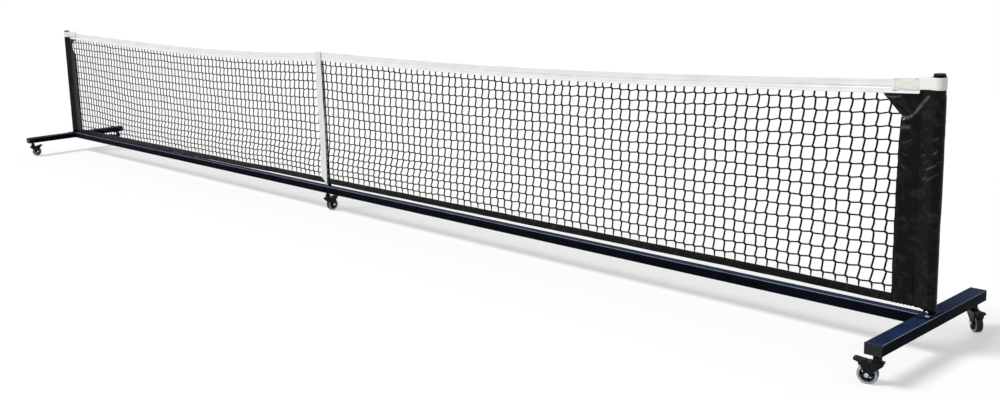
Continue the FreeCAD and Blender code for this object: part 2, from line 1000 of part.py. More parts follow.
def make_hub(label, along, across, turn):
    """Hub: spokes between a keyed rim and a middle with a running bore for the axle."""
    body = new_body(label)
    disc = sketch(body, "XZ_Plane", [hub_outline()])
    pad(body, disc, "hub_wide")
    window = sketch(body, "XZ_Plane", [window_outline()])
    cut = pocket(body, window, "hub_wide + 2")
    before = body.Shape.Volume
    pattern = body.newObject("PartDesign::PolarPattern", "spokes")
    pattern.Originals = [cut]
    pattern.Axis = (window, ["N_Axis"])
    pattern.Angle = 360.0
    pattern.Occurrences = SPOKES
    body.Tip = pattern
    doc.recompute()
    if not body.Shape.Volume < before - 1.0:
        raise RuntimeError(f"the spokes of {label} remove nothing")
    bore = sketch(body, "XZ_Plane", circles=[("0", "0", "axle_radius + axle_slip")])
    pocket(body, bore, "hub_wide + 2")
    place_caster(body, along, across, turn, "trail", "wheel_radius")
    return keep(body, label)


def make_axle_ends(label, along, across, turn):
    """Head and nut of the axle bolt, on the outer faces of the two legs."""
    ends = []
    for face in ("fork_wide / 2", "-fork_wide / 2 - bolt_head_high"):
        body = new_body(f"{label}_{len(ends)}")
        ending = sketch(body, "XZ_Plane", [hexagon("0", "0", "bolt_head")], lift=face)
        pad(body, ending, "bolt_head_high", both_ways=False)
        place_caster(body, along, across, turn, "trail", "wheel_radius")
        ends.append(body)
    return group(label, ends)


def shoe_corner(polar):
    """A corner of the brake shoe in the pedal's frame, brake off.

    With the pedal pressed down it stands just off the tread, at that angle round the axle;
    the pedal's travel is turned back about its pivot.
    """
    radius = value("wheel_radius + shoe_gap")
    out = value("trail - pivot_out") + radius * math.cos(math.radians(polar))
    up = value("wheel_radius - pivot_up") + radius * math.sin(math.radians(polar))
    back = math.radians(BRAKE_TRAVEL)
    return (
        f"{out * math.cos(back) - up * math.sin(back):.4f}",
        f"{out * math.sin(back) + up * math.cos(back):.4f}",
    )


def grip(number):
    """One rib across the foot plate, which climbs gently to its tip."""
    start = f"(grip_start + {number} * grip_pitch)"
    base = f"(pedal_top + pedal_slope * {start})"
    return [
        (start, base),
        (f"{start} + grip_ease", f"{base} + grip_high"),
        (f"{start} + grip_wide - grip_ease", f"{base} + grip_high"),
        (f"{start} + grip_wide", f"{base} + pedal_slope * grip_wide"),
    ]


def make_pedal(label, along, across, turn):
    """Brake pedal: a ribbed foot plate, the lever round its pin and the shoe beneath."""
    body = new_body(label)
    outline = [
        ("-pedal_heel", "-pin_radius"),
        ("-pedal_heel", "pedal_top - grip_ease"),
        ("grip_start - grip_pitch", "pedal_top"),
    ]
    for number in range(GRIPS):
        outline += grip(number)
    outline += [
        ("pedal_tip - pin_radius", "pedal_tip_high + grip_high"),
        ("pedal_tip", "pedal_tip_high"),
        ("pedal_tip - grip_ease", "pedal_tip_low"),
        ("pedal_neck", "0"),
        shoe_corner(45.0),
        shoe_corner(58.0),
    ]
    profile = sketch(body, "XZ_Plane", [outline])
    pad(body, profile, "pedal_wide")
    bore = sketch(body, "XZ_Plane", circles=[("0", "0", "pin_radius + axle_slip")])
    pocket(body, bore, "pedal_wide + 2")
    place_caster(body, along, across, turn, "pivot_out", "pivot_up")
    return keep(body, label)


for end_name, end_side in (("left", -1), ("right", 1)):
    make_foot(f"{end_name}_foot", end_side)
    make_post(f"{end_name}_post", end_side)
    make_sleeve(f"{end_name}_sleeve", end_side)
make_end_caps("foot_end_caps")
make_post_bases("post_bases")
make_bolt_heads("bolt_heads")
make_post_caps("post_caps")

rail_end = "half_span - foot_wide / 2 - seam / 2"
make_rail("left_rail", f"-({rail_end})", "-centre_length / 2 - seam")
make_rail("right_rail", "centre_length / 2 + seam", rail_end)
make_rail("centre_rail", "-centre_length / 2", "centre_length / 2")
make_rail(
    "rail_joiner",
    "-joiner_length / 2",
    "joiner_length / 2",
    half=INNER_HALF,
    low="tube_wall + slip",
    eased=False,
)

make_headband("headband")
make_top_cord("top_cord")
make_net("net")
make_bottom_tape("bottom_tape")
make_end_straps("end_straps")
make_centre_strap("centre_strap")
make_strap_hook("strap_hook")
make_pole("centre_pole")

make_stems("caster_stems")
for caster, along, across, turn in CASTERS:
    make_fork(f"{caster}_fork", along, across, turn)
    make_axle_ends(f"{caster}_axle_ends", along, across, turn)
    make_hub(f"{caster}_hub", along, across, turn)
    make_tread(f"{caster}_tread", along, across, turn)
    make_pedal(f"{caster}_pedal", along, across, turn)

doc.recompute()
for item in doc.Objects:
    if "Invalid" in item.State or "Error" in item.State:
        raise RuntimeError(f"{item.Label} is {item.State}")
for label, item in nodes.items():
    if item.Shape.isNull() or not item.Shape.isValid():
        raise RuntimeError(f"{label} has no valid shape")

os.makedirs("parts", exist_ok=True)
for label, item in nodes.items():
    item.Shape.exportStep(f"parts/{label}.step")
print(len(nodes), "sub-parts written")
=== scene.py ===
import json
import math

import bmesh
import bpy
import numpy as np
from mathutils import Matrix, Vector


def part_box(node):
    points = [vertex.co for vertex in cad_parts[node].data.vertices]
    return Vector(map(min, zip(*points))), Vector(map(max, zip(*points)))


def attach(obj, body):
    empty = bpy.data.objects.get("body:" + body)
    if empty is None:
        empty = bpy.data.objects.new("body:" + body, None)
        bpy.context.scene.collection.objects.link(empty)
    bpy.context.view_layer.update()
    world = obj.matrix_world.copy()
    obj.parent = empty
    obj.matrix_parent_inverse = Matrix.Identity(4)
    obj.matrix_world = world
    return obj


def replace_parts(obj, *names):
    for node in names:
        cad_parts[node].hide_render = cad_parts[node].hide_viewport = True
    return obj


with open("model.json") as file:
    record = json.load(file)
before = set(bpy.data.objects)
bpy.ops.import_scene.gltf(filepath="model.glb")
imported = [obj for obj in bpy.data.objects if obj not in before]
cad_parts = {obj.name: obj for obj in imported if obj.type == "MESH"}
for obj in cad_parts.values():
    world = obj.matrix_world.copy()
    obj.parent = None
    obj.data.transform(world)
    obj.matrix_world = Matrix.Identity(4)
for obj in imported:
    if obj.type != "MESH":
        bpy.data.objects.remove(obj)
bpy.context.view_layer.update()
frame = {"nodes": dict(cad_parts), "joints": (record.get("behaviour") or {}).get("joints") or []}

# Portable court net on braked casters. Sizes are in millimetres and turned to metres
# where a mesh is made. +X runs to the net's right end, +Y to the rear, +Z up.
MM = 0.001
NODES = frame["nodes"]
JOINTS = {joint["name"]: joint for joint in frame["joints"]}
CASTERS = ("right_front", "right_rear", "left_front", "left_rear", "centre")
ACROSS = (1.0, 0.0, 0.0)
REARWARDS = (0.0, 1.0, 0.0)
UPWARDS = (0.0, 0.0, 1.0)
random = np.random.default_rng(7)


def corners(node):
    """Lowest and highest corner of a CAD node, in millimetres."""
    return [np.array(corner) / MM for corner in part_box(node)]


# Places read from the frame
POST_X = sum(corner[0] for corner in corners("right_post")) / 2
POST_TOP = corners("right_post")[1][2]
BAND_END = corners("headband")[1][0]
TAPE_END = corners("bottom_tape")[1][0]
SLEEVE_LOW, SLEEVE_HIGH = (corner[2] for corner in corners("right_sleeve"))
STRAP_LOW, STRAP_HIGH = (corner[2] for corner in corners("end_straps"))
RAIL_TOP = corners("centre_rail")[1][2]

# Headband: where its top edge hangs
BAND_HIGH = 50.8
BAND_TOP_CENTRE = 887.0
BAND_TOP_LEFT = 917.0
BAND_TOP_RIGHT = 911.0
BAND_END_RISE = 3.0
STRAP_START = 3147.0
SAG_LEFT = 33.5
SAG_RIGHT = 27.0
SAG_LEFT_POWER = 0.75

# Bottom tape: where its lower edge runs, and where along it the tape is drawn up
TAPE_HIGH = 30.0
TAPE_LEFT = 143.0
TAPE_RIGHT = 156.0
TAPE_LIFT = 5.0
TAPE_RISES = (-900.0, -400.0)
TAPE_FALLS = (3150.0, 2750.0)


def ramp(value, start, end):
    """Eases from 0 at start to 1 at end as 3t^2 - 2t^3, level at both and beyond them."""
    share = np.clip((value - start) / (end - start), 0.0, 1.0)
    return share * share * (3 - 2 * share)


def bell(value, middle, width):
    """1 at the middle, falling to both sides as exp(-t^2), with t the distance in widths."""
    return np.exp(-(((value - middle) / width) ** 2))


def ripple(along, across, waves):
    """Sum of sines over a surface: each wave is (size, length, length across, phase)."""
    total = np.zeros(np.broadcast(along, across).shape)
    for size, length, length_across, phase in waves:
        turns = along / length + across / length_across
        total = total + size * np.sin(2 * np.pi * turns + phase)
    return total


def band_top(x):
    """Height of the headband's top edge.

    From each end strap a straight line falls to the centre strap, and a sine dips below it.
    On the left the dip is deepest nearer to the centre.
    """
    reach = np.abs(x)
    share = np.minimum(reach / STRAP_START, 1.0)
    strap = np.where(x < 0, BAND_TOP_LEFT, BAND_TOP_RIGHT)
    dip_left = SAG_LEFT * np.sin(np.pi * share**SAG_LEFT_POWER)
    dip_right = SAG_RIGHT * np.sin(np.pi * share)
    sag = np.where(x < 0, dip_left, dip_right)
    beyond = np.clip((reach - STRAP_START) / (BAND_END - STRAP_START), 0.0, 1.0)
    return BAND_TOP_CENTRE + share * (strap - BAND_TOP_CENTRE) - sag + beyond * BAND_END_RISE


def tape_low(x):
    """Height of the bottom tape's lower edge: it falls to the left and is drawn up in between."""
    drawn_up = TAPE_LIFT * ramp(x, *TAPE_RISES) * ramp(x, *TAPE_FALLS)
    return TAPE_LEFT + (x + TAPE_END) / (2 * TAPE_END) * (TAPE_RIGHT - TAPE_LEFT) + drawn_up


# Meshes

MERGE_GAP = 0.01
FLAT_ANGLE = 1.0
SHARP_ANGLE = 28.0


def into_scene(item):
    """Links an object to the scene's own collection."""
    bpy.context.scene.collection.objects.link(item)


def mesh_piece(name, points, faces, body, look, cut=None, crest=None):
    """A piece from points in millimetres and quads, riding on its body.

    look is its material and slot. cut holds each point's place on the flat cloth, as a UV
    map, and crest how far it stands on a fold of the cloth, from 0 to 1.
    """
    mesh = bpy.data.meshes.new(name)
    mesh.from_pydata(np.reshape(points, (-1, 3)) * MM, [], faces.tolist())
    if cut is not None:
        layer = mesh.uv_layers.new(name="cut")
        loops = np.zeros(len(mesh.loops), np.int32)
        mesh.loops.foreach_get("vertex_index", loops)
        layer.data.foreach_set("uv", (np.reshape(cut, (-1, 2))[loops] * MM).ravel())
    if crest is not None:
        layer = mesh.attributes.new("crest", "FLOAT", "POINT")
        layer.data.foreach_set("value", np.asarray(crest, np.float32).ravel())
    mesh.shade_smooth()
    piece = bpy.data.objects.new(name, mesh)
    into_scene(piece)
    material, slot = look
    mesh.materials.append(material)
    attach(piece, body)
    return piece


def grid_faces(rows, columns, wrap_rows=False, wrap_columns=False):
    """Quads of a grid of points, closed on itself where asked."""
    i = np.arange(rows if wrap_rows else rows - 1)[:, None]
    j = np.arange(columns if wrap_columns else columns - 1)[None, :]
    i_next = (i + 1) % rows
    j_next = (j + 1) % columns
    quads = np.stack(
        [
            i * columns + j,
            i_next * columns + j,
            i_next * columns + j_next,
            i * columns + j_next,
        ],
        axis=-1,
    )
    return quads.reshape(-1, 4)


def tube_faces(stations, sides):
    """Quads of a tube's wall and of its two ends, all facing outwards; sides is even."""
    walls = grid_faces(stations, sides, wrap_columns=True)[:, ::-1]
    step = np.arange(0, sides - 2, 2)[:, None]
    end = np.concatenate([0 * step, step + 1, step + 2, step + 3], axis=1)
    return np.concatenate([walls, end[:, ::-1], end + (stations - 1) * sides])


def many_tubes(paths, radius, sides, across):
    """Points and faces of many round strands.

    paths is (number, stations, 3). At each station stands a ring of points, square to the
    path's own direction there; across is the direction that each ring starts from.
    """
    count, stations = paths.shape[:2]
    ahead = np.gradient(paths, axis=1)
    ahead /= np.linalg.norm(ahead, axis=-1, keepdims=True)
    second = np.cross(ahead, across)
    second /= np.linalg.norm(second, axis=-1, keepdims=True)
    first = np.cross(second, ahead)
    turn = np.arange(sides)[:, None] * 2 * np.pi / sides
    ring = first[..., None, :] * np.cos(turn) + second[..., None, :] * np.sin(turn)
    radius = np.broadcast_to(radius, (count, stations))
    points = paths[..., None, :] + radius[..., None, None] * ring
    starts = np.arange(count)[:, None, None] * stations * sides
    return points, (tube_faces(stations, sides)[None] + starts).reshape(-1, 4)


def spindle(rings, length, radius, sides):
    """A small solid round the X axis: rings holds (place along it, radius) as shares."""
    turn = np.arange(sides) * 2 * np.pi / sides
    ring = np.stack([0 * turn, np.cos(turn), np.sin(turn)], axis=1)
    points = (ring[None] * rings[:, 1][:, None, None] * radius).reshape(-1, 3)
    points[:, 0] = np.repeat(rings[:, 0] * length, sides)
    return points, tube_faces(len(rings), sides)


def many_copies(shape, turns, places):
    """The same small solid at many places, each with its own 3x3 turn."""
    points, faces = shape
    moved = np.einsum("nij,pj->npi", turns, points) + places[:, None, :]
    starts = np.arange(len(places))[:, None, None] * len(points)
    return moved, (faces[None] + starts).reshape(-1, 4)


def rounded(profile, radius, steps=4):
    """A closed profile with each corner replaced by an arc of that radius.

    Each arc runs between the points where it meets the two sides, as a quadratic curve.
    """
    profile = np.asarray(profile, float)
    before = np.roll(profile, 1, axis=0) - profile
    after = np.roll(profile, -1, axis=0) - profile
    back = np.linalg.norm(before, axis=1, keepdims=True)
    on = np.linalg.norm(after, axis=1, keepdims=True)
    cut = np.minimum(radius, np.minimum(back, on) * 0.45)
    start = (profile + before / back * cut)[:, None]
    end = (profile + after / on * cut)[:, None]
    t = np.linspace(0, 1, steps)[None, :, None]
    curve = (1 - t) ** 2 * start + 2 * t * (1 - t) * profile[:, None] + t**2 * end
    return curve.reshape(-1, 2)


def lathe_piece(name, profile, around, place, body, look):
    """A closed profile of (radius, along) turned about an axis: place is (centre, axis, start).

    Its map holds each point's distance from the axis and place along it.
    """
    centre, axis, start = (np.array(part, float) for part in place)
    profile = np.asarray(profile, float)
    turn = np.arange(around)[:, None] * 2 * np.pi / around
    ring = start * np.cos(turn) + np.cross(axis, start) * np.sin(turn)
    points = centre + profile[:, None, :1] * ring[None] + profile[:, None, 1:] * axis
    faces = grid_faces(len(profile), around, wrap_rows=True, wrap_columns=True)
    piece = mesh_piece(name, points, faces, body, look, cut=np.repeat(profile, around, axis=0))
    clean(piece.data)
    return piece


def clean(mesh, flat_angle=None):
    """Merges points that meet, and turns every face of a closed mesh outwards.

    Faces that meet at less than flat_angle, in degrees, are joined where it is given.
    """
    shape = bmesh.new()
    shape.from_mesh(mesh)
    bmesh.ops.remove_doubles(shape, verts=shape.verts[:], dist=MERGE_GAP * MM)
    if flat_angle:
        bmesh.ops.dissolve_limit(
            shape,
            angle_limit=math.radians(flat_angle),
            verts=shape.verts[:],
            edges=shape.edges[:],
        )
    bmesh.ops.recalc_face_normals(shape, faces=shape.faces[:])
    shape.to_mesh(mesh)
    shape.free()


def thicken(piece, wall):
    """Gives a sheet its thickness, on the inner side."""
    solid = piece.modifiers.new("thickness", "SOLIDIFY")
    solid.thickness = wall * MM
    solid.offset = -1.0


def eased_copy(node, body, look, width, segments=2):
    """A rigid CAD node with its edges eased as pressing, moulding or rolling leaves them.

    The copy's loose triangles are merged, flat ones joined, and each sharp edge rounded.
    """
    source = NODES[node]
    mesh = source.data.copy()
    mesh.transform(source.matrix_world)
    clean(mesh, FLAT_ANGLE)
    material, slot = look
    mesh.materials.clear()
    mesh.materials.append(material)
    piece = bpy.data.objects.new(f"{node}_finished", mesh)
    into_scene(piece)
    mesh.shade_smooth()
    edge = piece.modifiers.new("eased edges", "BEVEL")
    edge.width = width * MM
    edge.segments = segments
    edge.limit_method = "ANGLE"
    edge.angle_limit = math.radians(SHARP_ANGLE)
    edge.harden_normals = True
    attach(piece, body)
    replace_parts(piece, node)
    return piece


# Materials


def colour(code):
    """Linear colour and alpha from a hex sRGB code."""
    channels = np.array([int(code[i : i + 2], 16) for i in (1, 3, 5)]) / 255
    linear = np.where(channels <= 0.04045, channels / 12.92, ((channels + 0.055) / 1.055) ** 2.4)
    return (*linear.tolist(), 1.0)


def fill(tree, socket, given):
    """Feeds a socket from another node's output, or with a number, a vector or a hex colour."""
    if isinstance(given, bpy.types.NodeSocket):
        tree.links.new(given, socket)
    else:
        socket.default_value = colour(given) if isinstance(given, str) else given


def add(tree, kind, *given, inputs=None, output=None, **settings):
    """Adds a node with its settings and links, and gives one of its outputs.

    kind is the node's type without its ShaderNode. given fills the inputs in use in their own
    order, and inputs fills others by name. The output is the one named, or the first in use.
    """
    node = tree.nodes.new(f"ShaderNode{kind}")
    for name, setting in settings.items():
        setattr(node, name, setting)
    sockets = [socket for socket in node.inputs if socket.enabled]
    for socket, value in zip(sockets, given):
        fill(tree, socket, value)
    for name, value in (inputs or {}).items():
        fill(tree, node.inputs[name], value)
    if output:
        return node.outputs[output]
    return next((socket for socket in node.outputs if socket.enabled), None)


def surface(name, build):
    """A material with one Principled shader, whose sockets build(tree) gives."""
    material = bpy.data.materials.new(name)
    material.use_nodes = True
    tree = material.node_tree
    shader = tree.nodes["Principled BSDF"]
    for socket, given in build(tree).items():
        fill(tree, shader.inputs[socket], given)
    return material


def per_metre(size_mm):
    """Texture scale for a feature of that size in millimetres."""
    return 1.0 / (size_mm * MM)


def bumps(height, depth_mm, strength):
    """A Bump node's inputs for a relief of that depth in millimetres."""
    return {"Height": height, "Distance": depth_mm * MM, "Strength": strength}


def upward(tree, low, high):
    """How far a face looks up: 0 below the height low of its normal and 1 above high."""
    normal = add(tree, "NewGeometry", output="Normal")
    return add(tree, "MapRange", add(tree, "SeparateXYZ", normal, output="Z"), low, high)


def eased_edge(tree):
    """1 on an eased edge, where the normal leans between two axes, and 0 on the flat faces.

    The sum of the fourth powers of the normal's parts is 1 on an axis and a half at 45 degrees.
    """
    normal = add(tree, "NewGeometry", output="Normal")
    square = add(tree, "VectorMath", normal, normal, operation="MULTIPLY")
    fourth = add(tree, "VectorMath", square, square, operation="DOT_PRODUCT")
    return add(tree, "MapRange", fourth, 0.97, 0.6)


def powder_coat(tree, edges):
    # Powder-coated steel tube: blue-black polyester powder baked to a satin skin. Its orange
    # peel of about a millimetre softens the highlights. The upward faces are painted bluer and
    # paler, a painted reflection of the sky, and slow patches vary the tone and roughness. Where
    # edges is set, the eased edges are painted pale grey: a painted highlight along them.
    place = add(tree, "TexCoord", output="Object")
    peel = add(tree, "TexNoise", place, per_metre(1.4), 1.0)
    dust_and_reflection = add(tree, "TexNoise", place, per_metre(70.0), 6.0)
    patchy = add(tree, "MapRange", dust_and_reflection, 0.3, 0.7)
    side = add(tree, "Mix", patchy, "#06080e", "#0d1119", data_type="RGBA")
    top = add(tree, "Mix", patchy, "#131f37", "#1e2d4b", data_type="RGBA")
    # The upward faces take the paler blue mix, a painted reflection of the sky above them.
    shade = add(tree, "Mix", upward(tree, 0.6, 0.98), side, top, data_type="RGBA")
    if edges:
        # Eased edges are painted pale grey in patches, a painted highlight along them.
        edge_highlight_patches = add(tree, "MapRange", dust_and_reflection, 0.3, 0.7, 0.5, 1.0)
        painted_edge_highlight = add(tree, "Math", eased_edge(tree), edge_highlight_patches, operation="MULTIPLY")
        shade = add(tree, "Mix", painted_edge_highlight, shade, "#858a93", data_type="RGBA")
    return {
        "Base Color": shade,
        "Roughness": add(tree, "MapRange", dust_and_reflection, 0.35, 0.7, 0.46, 0.6),
        "Specular IOR Level": 0.008,
        "Normal": add(tree, "Bump", inputs=bumps(peel, 0.05, 0.5)),
    }


def zinc_plate(tree):
    # Zinc-plated steel: bright, slightly blue passivated plating over a turned or forged
    # surface, faintly cloudy.
    place = add(tree, "TexCoord", output="Object")
    cloud = add(tree, "TexNoise", place, per_metre(6.0), 4.0)
    return {
        "Base Color": add(tree, "Mix", cloud, "#9aa0a8", "#d3d7db", data_type="RGBA"),
        "Metallic": 1.0,
        "Roughness": add(tree, "MapRange", cloud, 0.3, 0.7, 0.18, 0.34),
        "Normal": add(tree, "Bump", inputs=bumps(cloud, 0.04, 0.4)),
    }


def pressed_steel(tree):
    # Pressed steel with black electro-paint: thin and even, a little shinier in patches.
    place = add(tree, "TexCoord", output="Object")
    cloud = add(tree, "TexNoise", place, per_metre(14.0), 4.0)
    share = add(tree, "MapRange", cloud, 0.45, 0.75)
    return {
        "Base Color": add(tree, "Mix", share, "#0a0b0d", "#16181b", data_type="RGBA"),
        "Roughness": add(tree, "MapRange", cloud, 0.3, 0.7, 0.3, 0.46),
        "Specular IOR Level": 0.12,
        "Normal": add(tree, "Bump", inputs=bumps(cloud, 0.06, 0.4)),
    }


def moulded_plastic(tree):
    # Injection-moulded polypropylene: black through and through, with the fine spark-eroded
    # grain of the mould, drawn at 0.6 mm so that it still shows.
    place = add(tree, "TexCoord", output="Object")
    grain = add(tree, "TexVoronoi", place, per_metre(0.6))
    haze = add(tree, "TexNoise", place, per_metre(25.0), 3.0)
    return {
        "Base Color": add(tree, "Mix", haze, "#131417", "#2b2d31", data_type="RGBA"),
        "Roughness": 0.5,
        "Specular IOR Level": 0.12,
        "Normal": add(tree, "Bump", inputs=bumps(grain, 0.05, 0.5)),
    }


def polyurethane(tree):
    # Cast polyurethane tread: pale grey and slightly clear, so light goes a little way in.
    # The face that rolls is near black, and its shoulders are scuffed. The piece's own
    # map holds each point's distance from the axle.
    place = add(tree, "TexCoord", output="Object")
    scuff = add(tree, "TexNoise", place, per_metre(5.0), 6.0)
    share = add(tree, "MapRange", scuff, 0.5, 0.75)
    side = add(tree, "Mix", share, "#aeb6bf", "#80868e", data_type="RGBA")
    reach = add(tree, "SeparateXYZ", add(tree, "TexCoord", output="UV"), output="X")
    rolled = add(tree, "MapRange", reach, 29.9 * MM, 31.2 * MM)
    dark_rolling_face = add(tree, "Mix", scuff, "#0c0e12", "#24272c", data_type="RGBA")
    return {
        "Base Color": add(tree, "Mix", rolled, side, dark_rolling_face, data_type="RGBA"),
        "Roughness": add(tree, "MapRange", scuff, 0.3, 0.7, 0.24, 0.5),
        "Specular IOR Level": 0.2,
        "Subsurface Weight": 0.25,
        "Subsurface Scale": 4.0 * MM,
    }


def coated_white(tree):
    # PVC-coated polyester for the headband: white with a soft sheen, the scrim's fine square
    # weave pressed into it at 1.6 mm, and grey handling marks along it, about 170 mm long
    # and 15 mm high.
    cut = add(tree, "TexCoord", output="UV")
    scrim = {
        "Vector": cut,
        "Color1": "#ffffff",
        "Color2": "#ffffff",
        "Mortar": "#000000",
        "Scale": per_metre(3.2),
        "Mortar Size": 0.06,
        "Mortar Smooth": 1.0,
        "Brick Width": 0.5,
        "Row Height": 0.5,
    }
    relief = add(tree, "TexBrick", inputs=scrim, offset=0.0)
    mark_size = (per_metre(1000 / 6), per_metre(1000 / 66), 1.0)
    stretched = add(tree, "Mapping", inputs={"Vector": cut, "Scale": mark_size})
    marks = add(tree, "TexNoise", stretched, 1.0, 6.0, 0.6)
    share = add(tree, "MapRange", marks, 0.5, 0.85)
    return {
        "Base Color": add(tree, "Mix", share, "#f1f1f3", "#d2d5da", data_type="RGBA"),
        "Roughness": add(tree, "MapRange", marks, 0.3, 0.7, 0.36, 0.5),
        "Sheen Weight": 0.1,
        "Normal": add(tree, "Bump", inputs=bumps(relief, 0.06, 0.4)),
    }


def webbing(tree, low, high):
    # Woven polypropylene webbing: ribs every 2.4 mm across it, crossed by picks every 1.8 mm.
    cut = add(tree, "TexCoord", output="UV")
    weave = 1.0
    for axis, size_mm in (("X", 1.8), ("Y", 2.4)):
        along = add(tree, "SeparateXYZ", cut, output=axis)
        turns = add(tree, "Math", along, 2 * np.pi * per_metre(size_mm), operation="MULTIPLY")
        wave = add(tree, "Math", turns, operation="SINE")
        weave = add(tree, "Math", wave, weave, operation="MULTIPLY")
    share = add(tree, "MapRange", weave, -1.0, 1.0)
    return {
        "Base Color": add(tree, "Mix", share, low, high, data_type="RGBA"),
        "Roughness": 0.6,
        "Sheen Weight": 0.2,
        "Normal": add(tree, "Bump", inputs=bumps(weave, 0.12, 0.6)),
    }


def coated_black(tree):
    # PVC-coated polyester for the sleeves and bottom tape: black, painted browner on the raised
    # parts of its crumpling as a soft highlight, with a leather-like grain of about 1.5 mm and
    # soft crumpling. Where a fold stands high, which the piece's crest attribute marks, the colour
    # is
    # painted pale grey: a painted highlight on the fold.
    cut = add(tree, "TexCoord", output="UV")
    grain = add(tree, "TexVoronoi", cut, per_metre(1.5))
    crumple = add(tree, "TexNoise", cut, per_metre(38.0), 5.0, inputs={"Distortion": 1.2})
    relief = add(tree, "Math", crumple, 14.0, grain, operation="MULTIPLY_ADD")
    # share: the raised parts of the crumpling, painted browner as a soft highlight.
    share = add(tree, "MapRange", crumple, 0.5, 0.7)
    cloth = add(tree, "Mix", share, "#07080a", "#252222", data_type="RGBA")
    # Where crest is high the colour is painted pale grey, a painted highlight on the fold.
    crest = add(tree, "Attribute", output="Fac", attribute_name="crest")
    uneven = add(tree, "MapRange", crumple, 0.38, 0.66, 0.25, 1.0)
    pale = add(tree, "Math", crest, uneven, operation="MULTIPLY")
    return {
        "Base Color": add(tree, "Mix", pale, cloth, "#62656d", data_type="RGBA"),
        "Roughness": add(tree, "MapRange", crumple, 0.3, 0.7, 0.28, 0.4),
        "Specular IOR Level": 0.08,
        "Normal": add(tree, "Bump", inputs=bumps(relief, 0.12, 1.0)),
    }


def thread(tree, first, second):
    # Bonded polyester sewing thread of two twisted plies. The twist is drawn every 4.5 mm, so
    # that it still shows: a diagonal wave's length is 2 pi / 10 of the size in its scale.
    place = add(tree, "TexCoord", output="Object")
    size = per_metre(7.2)
    twist = add(tree, "TexWave", place, size, 0.5, output="Fac", bands_direction="DIAGONAL")
    return {
        "Base Color": add(tree, "Mix", twist, first, second, data_type="RGBA"),
        "Roughness": 0.55,
        "Normal": add(tree, "Bump", inputs=bumps(twist, 0.05, 0.5)),
    }


# Braided polyethylene twine: black and waxy. Its plaits are too fine to show.
TWINE_FINISH = {"Base Color": "#0b0c0d", "Roughness": 0.6, "Specular IOR Level": 0.08}

# Each piece's look: its material, and the name of its slot
FRAME_PAINT = (surface("powder_coated_tube", lambda tree: powder_coat(tree, True)), "frame_paint")
ROUND_PAINT = (
    surface("powder_coated_round_tube", lambda tree: powder_coat(tree, False)),
    "frame_paint",
)
BRIGHT_STEEL = (surface("zinc_plated_steel", zinc_plate), "bright_steel")
FORK_PAINT = (surface("black_painted_pressed_steel", pressed_steel), "fork_paint")
MOULDED = (surface("moulded_polypropylene", moulded_plastic), "moulded_black")
TREAD = (surface("cast_polyurethane", polyurethane), "tread")
WHITE_CLOTH = (surface("white_coated_cloth", coated_white), "white_vinyl")
BLACK_CLOTH = (surface("black_coated_cloth", coated_black), "black_vinyl")
CREAM_WEBBING = (
    surface("cream_woven_webbing", lambda tree: webbing(tree, "#e3e0da", "#faf8f4")),
    "white_webbing",
)
WHITE_WEBBING = (
    surface("white_woven_webbing", lambda tree: webbing(tree, "#d9dadd", "#f0f1f3")),
    "white_webbing",
)
WHITE_THREAD = surface("white_sewing_thread", lambda tree: thread(tree, "#a9a49b", "#e2ded6"))
BLACK_THREAD = surface("black_sewing_thread", lambda tree: thread(tree, "#0e0f10", "#242628"))
BAND_SEWING = (WHITE_THREAD, "white_vinyl")
STRAP_SEWING = (WHITE_THREAD, "white_webbing")
BLACK_SEWING = (BLACK_THREAD, "black_vinyl")
TWINE_BLACK = (surface("black_braided_twine", lambda tree: TWINE_FINISH), "net_cord")


# Rigid parts that keep their CAD shape, with eased edges. The pole leans behind its strap.
POLE_LEAN = 9.5
for node in ("left_foot", "right_foot", "left_rail", "right_rail", "centre_rail"):
    eased_copy(node, "frame", FRAME_PAINT, width=0.9, segments=3)
for node in ("post_bases", "left_post", "right_post"):
    eased_copy(node, "frame", ROUND_PAINT, width=0.5)
pole = eased_copy("centre_pole", "frame", ROUND_PAINT, width=0.5)
pole_low, pole_high = (corner[2] for corner in corners("centre_pole"))
for vertex in pole.data.vertices:
    up = (vertex.co.z / MM - pole_low) / (pole_high - pole_low)
    vertex.co.x -= POLE_LEAN * MM * up
eased_copy("foot_end_caps", "frame", MOULDED, width=0.6, segments=3)
eased_copy("bolt_heads", "frame", BRIGHT_STEEL, width=0.5)
eased_copy("caster_stems", "frame", FORK_PAINT, width=0.5)
NODES["rail_joiner"].data.materials.clear()
NODES["rail_joiner"].data.materials.append(FRAME_PAINT[0])
for caster in CASTERS:
    swivel = f"{caster}_swivel"
    eased_copy(f"{caster}_fork", swivel, FORK_PAINT, width=0.9, segments=3)
    eased_copy(f"{caster}_axle_ends", swivel, BRIGHT_STEEL, width=0.6)
    eased_copy(f"{caster}_pedal", f"{caster}_brake", MOULDED, width=0.5)


# Camera

CAMERA_PLACE = (4785.7, -3485.2, 1334.5)
CAMERA_YAW = 0.86472
CAMERA_PITCH = 0.17039
CAMERA_ROLL = 0.03888
CAMERA_LENS = 39.04
CAMERA_SENSOR = 36.0
CAMERA_SHIFT = (0.0922, -0.0492)
CAMERA_REACH = 300000.0


def set_up(item, right, up, back, place=(0.0, 0.0, 0.0)):
    """Puts a camera or a lamp at a place, with its own axes turned to right, up and back."""
    turn = np.eye(4)
    turn[:3] = np.stack([right, up, back, np.array(place) * MM], axis=1)
    item.matrix_world = Matrix(turn.tolist())
    into_scene(item)


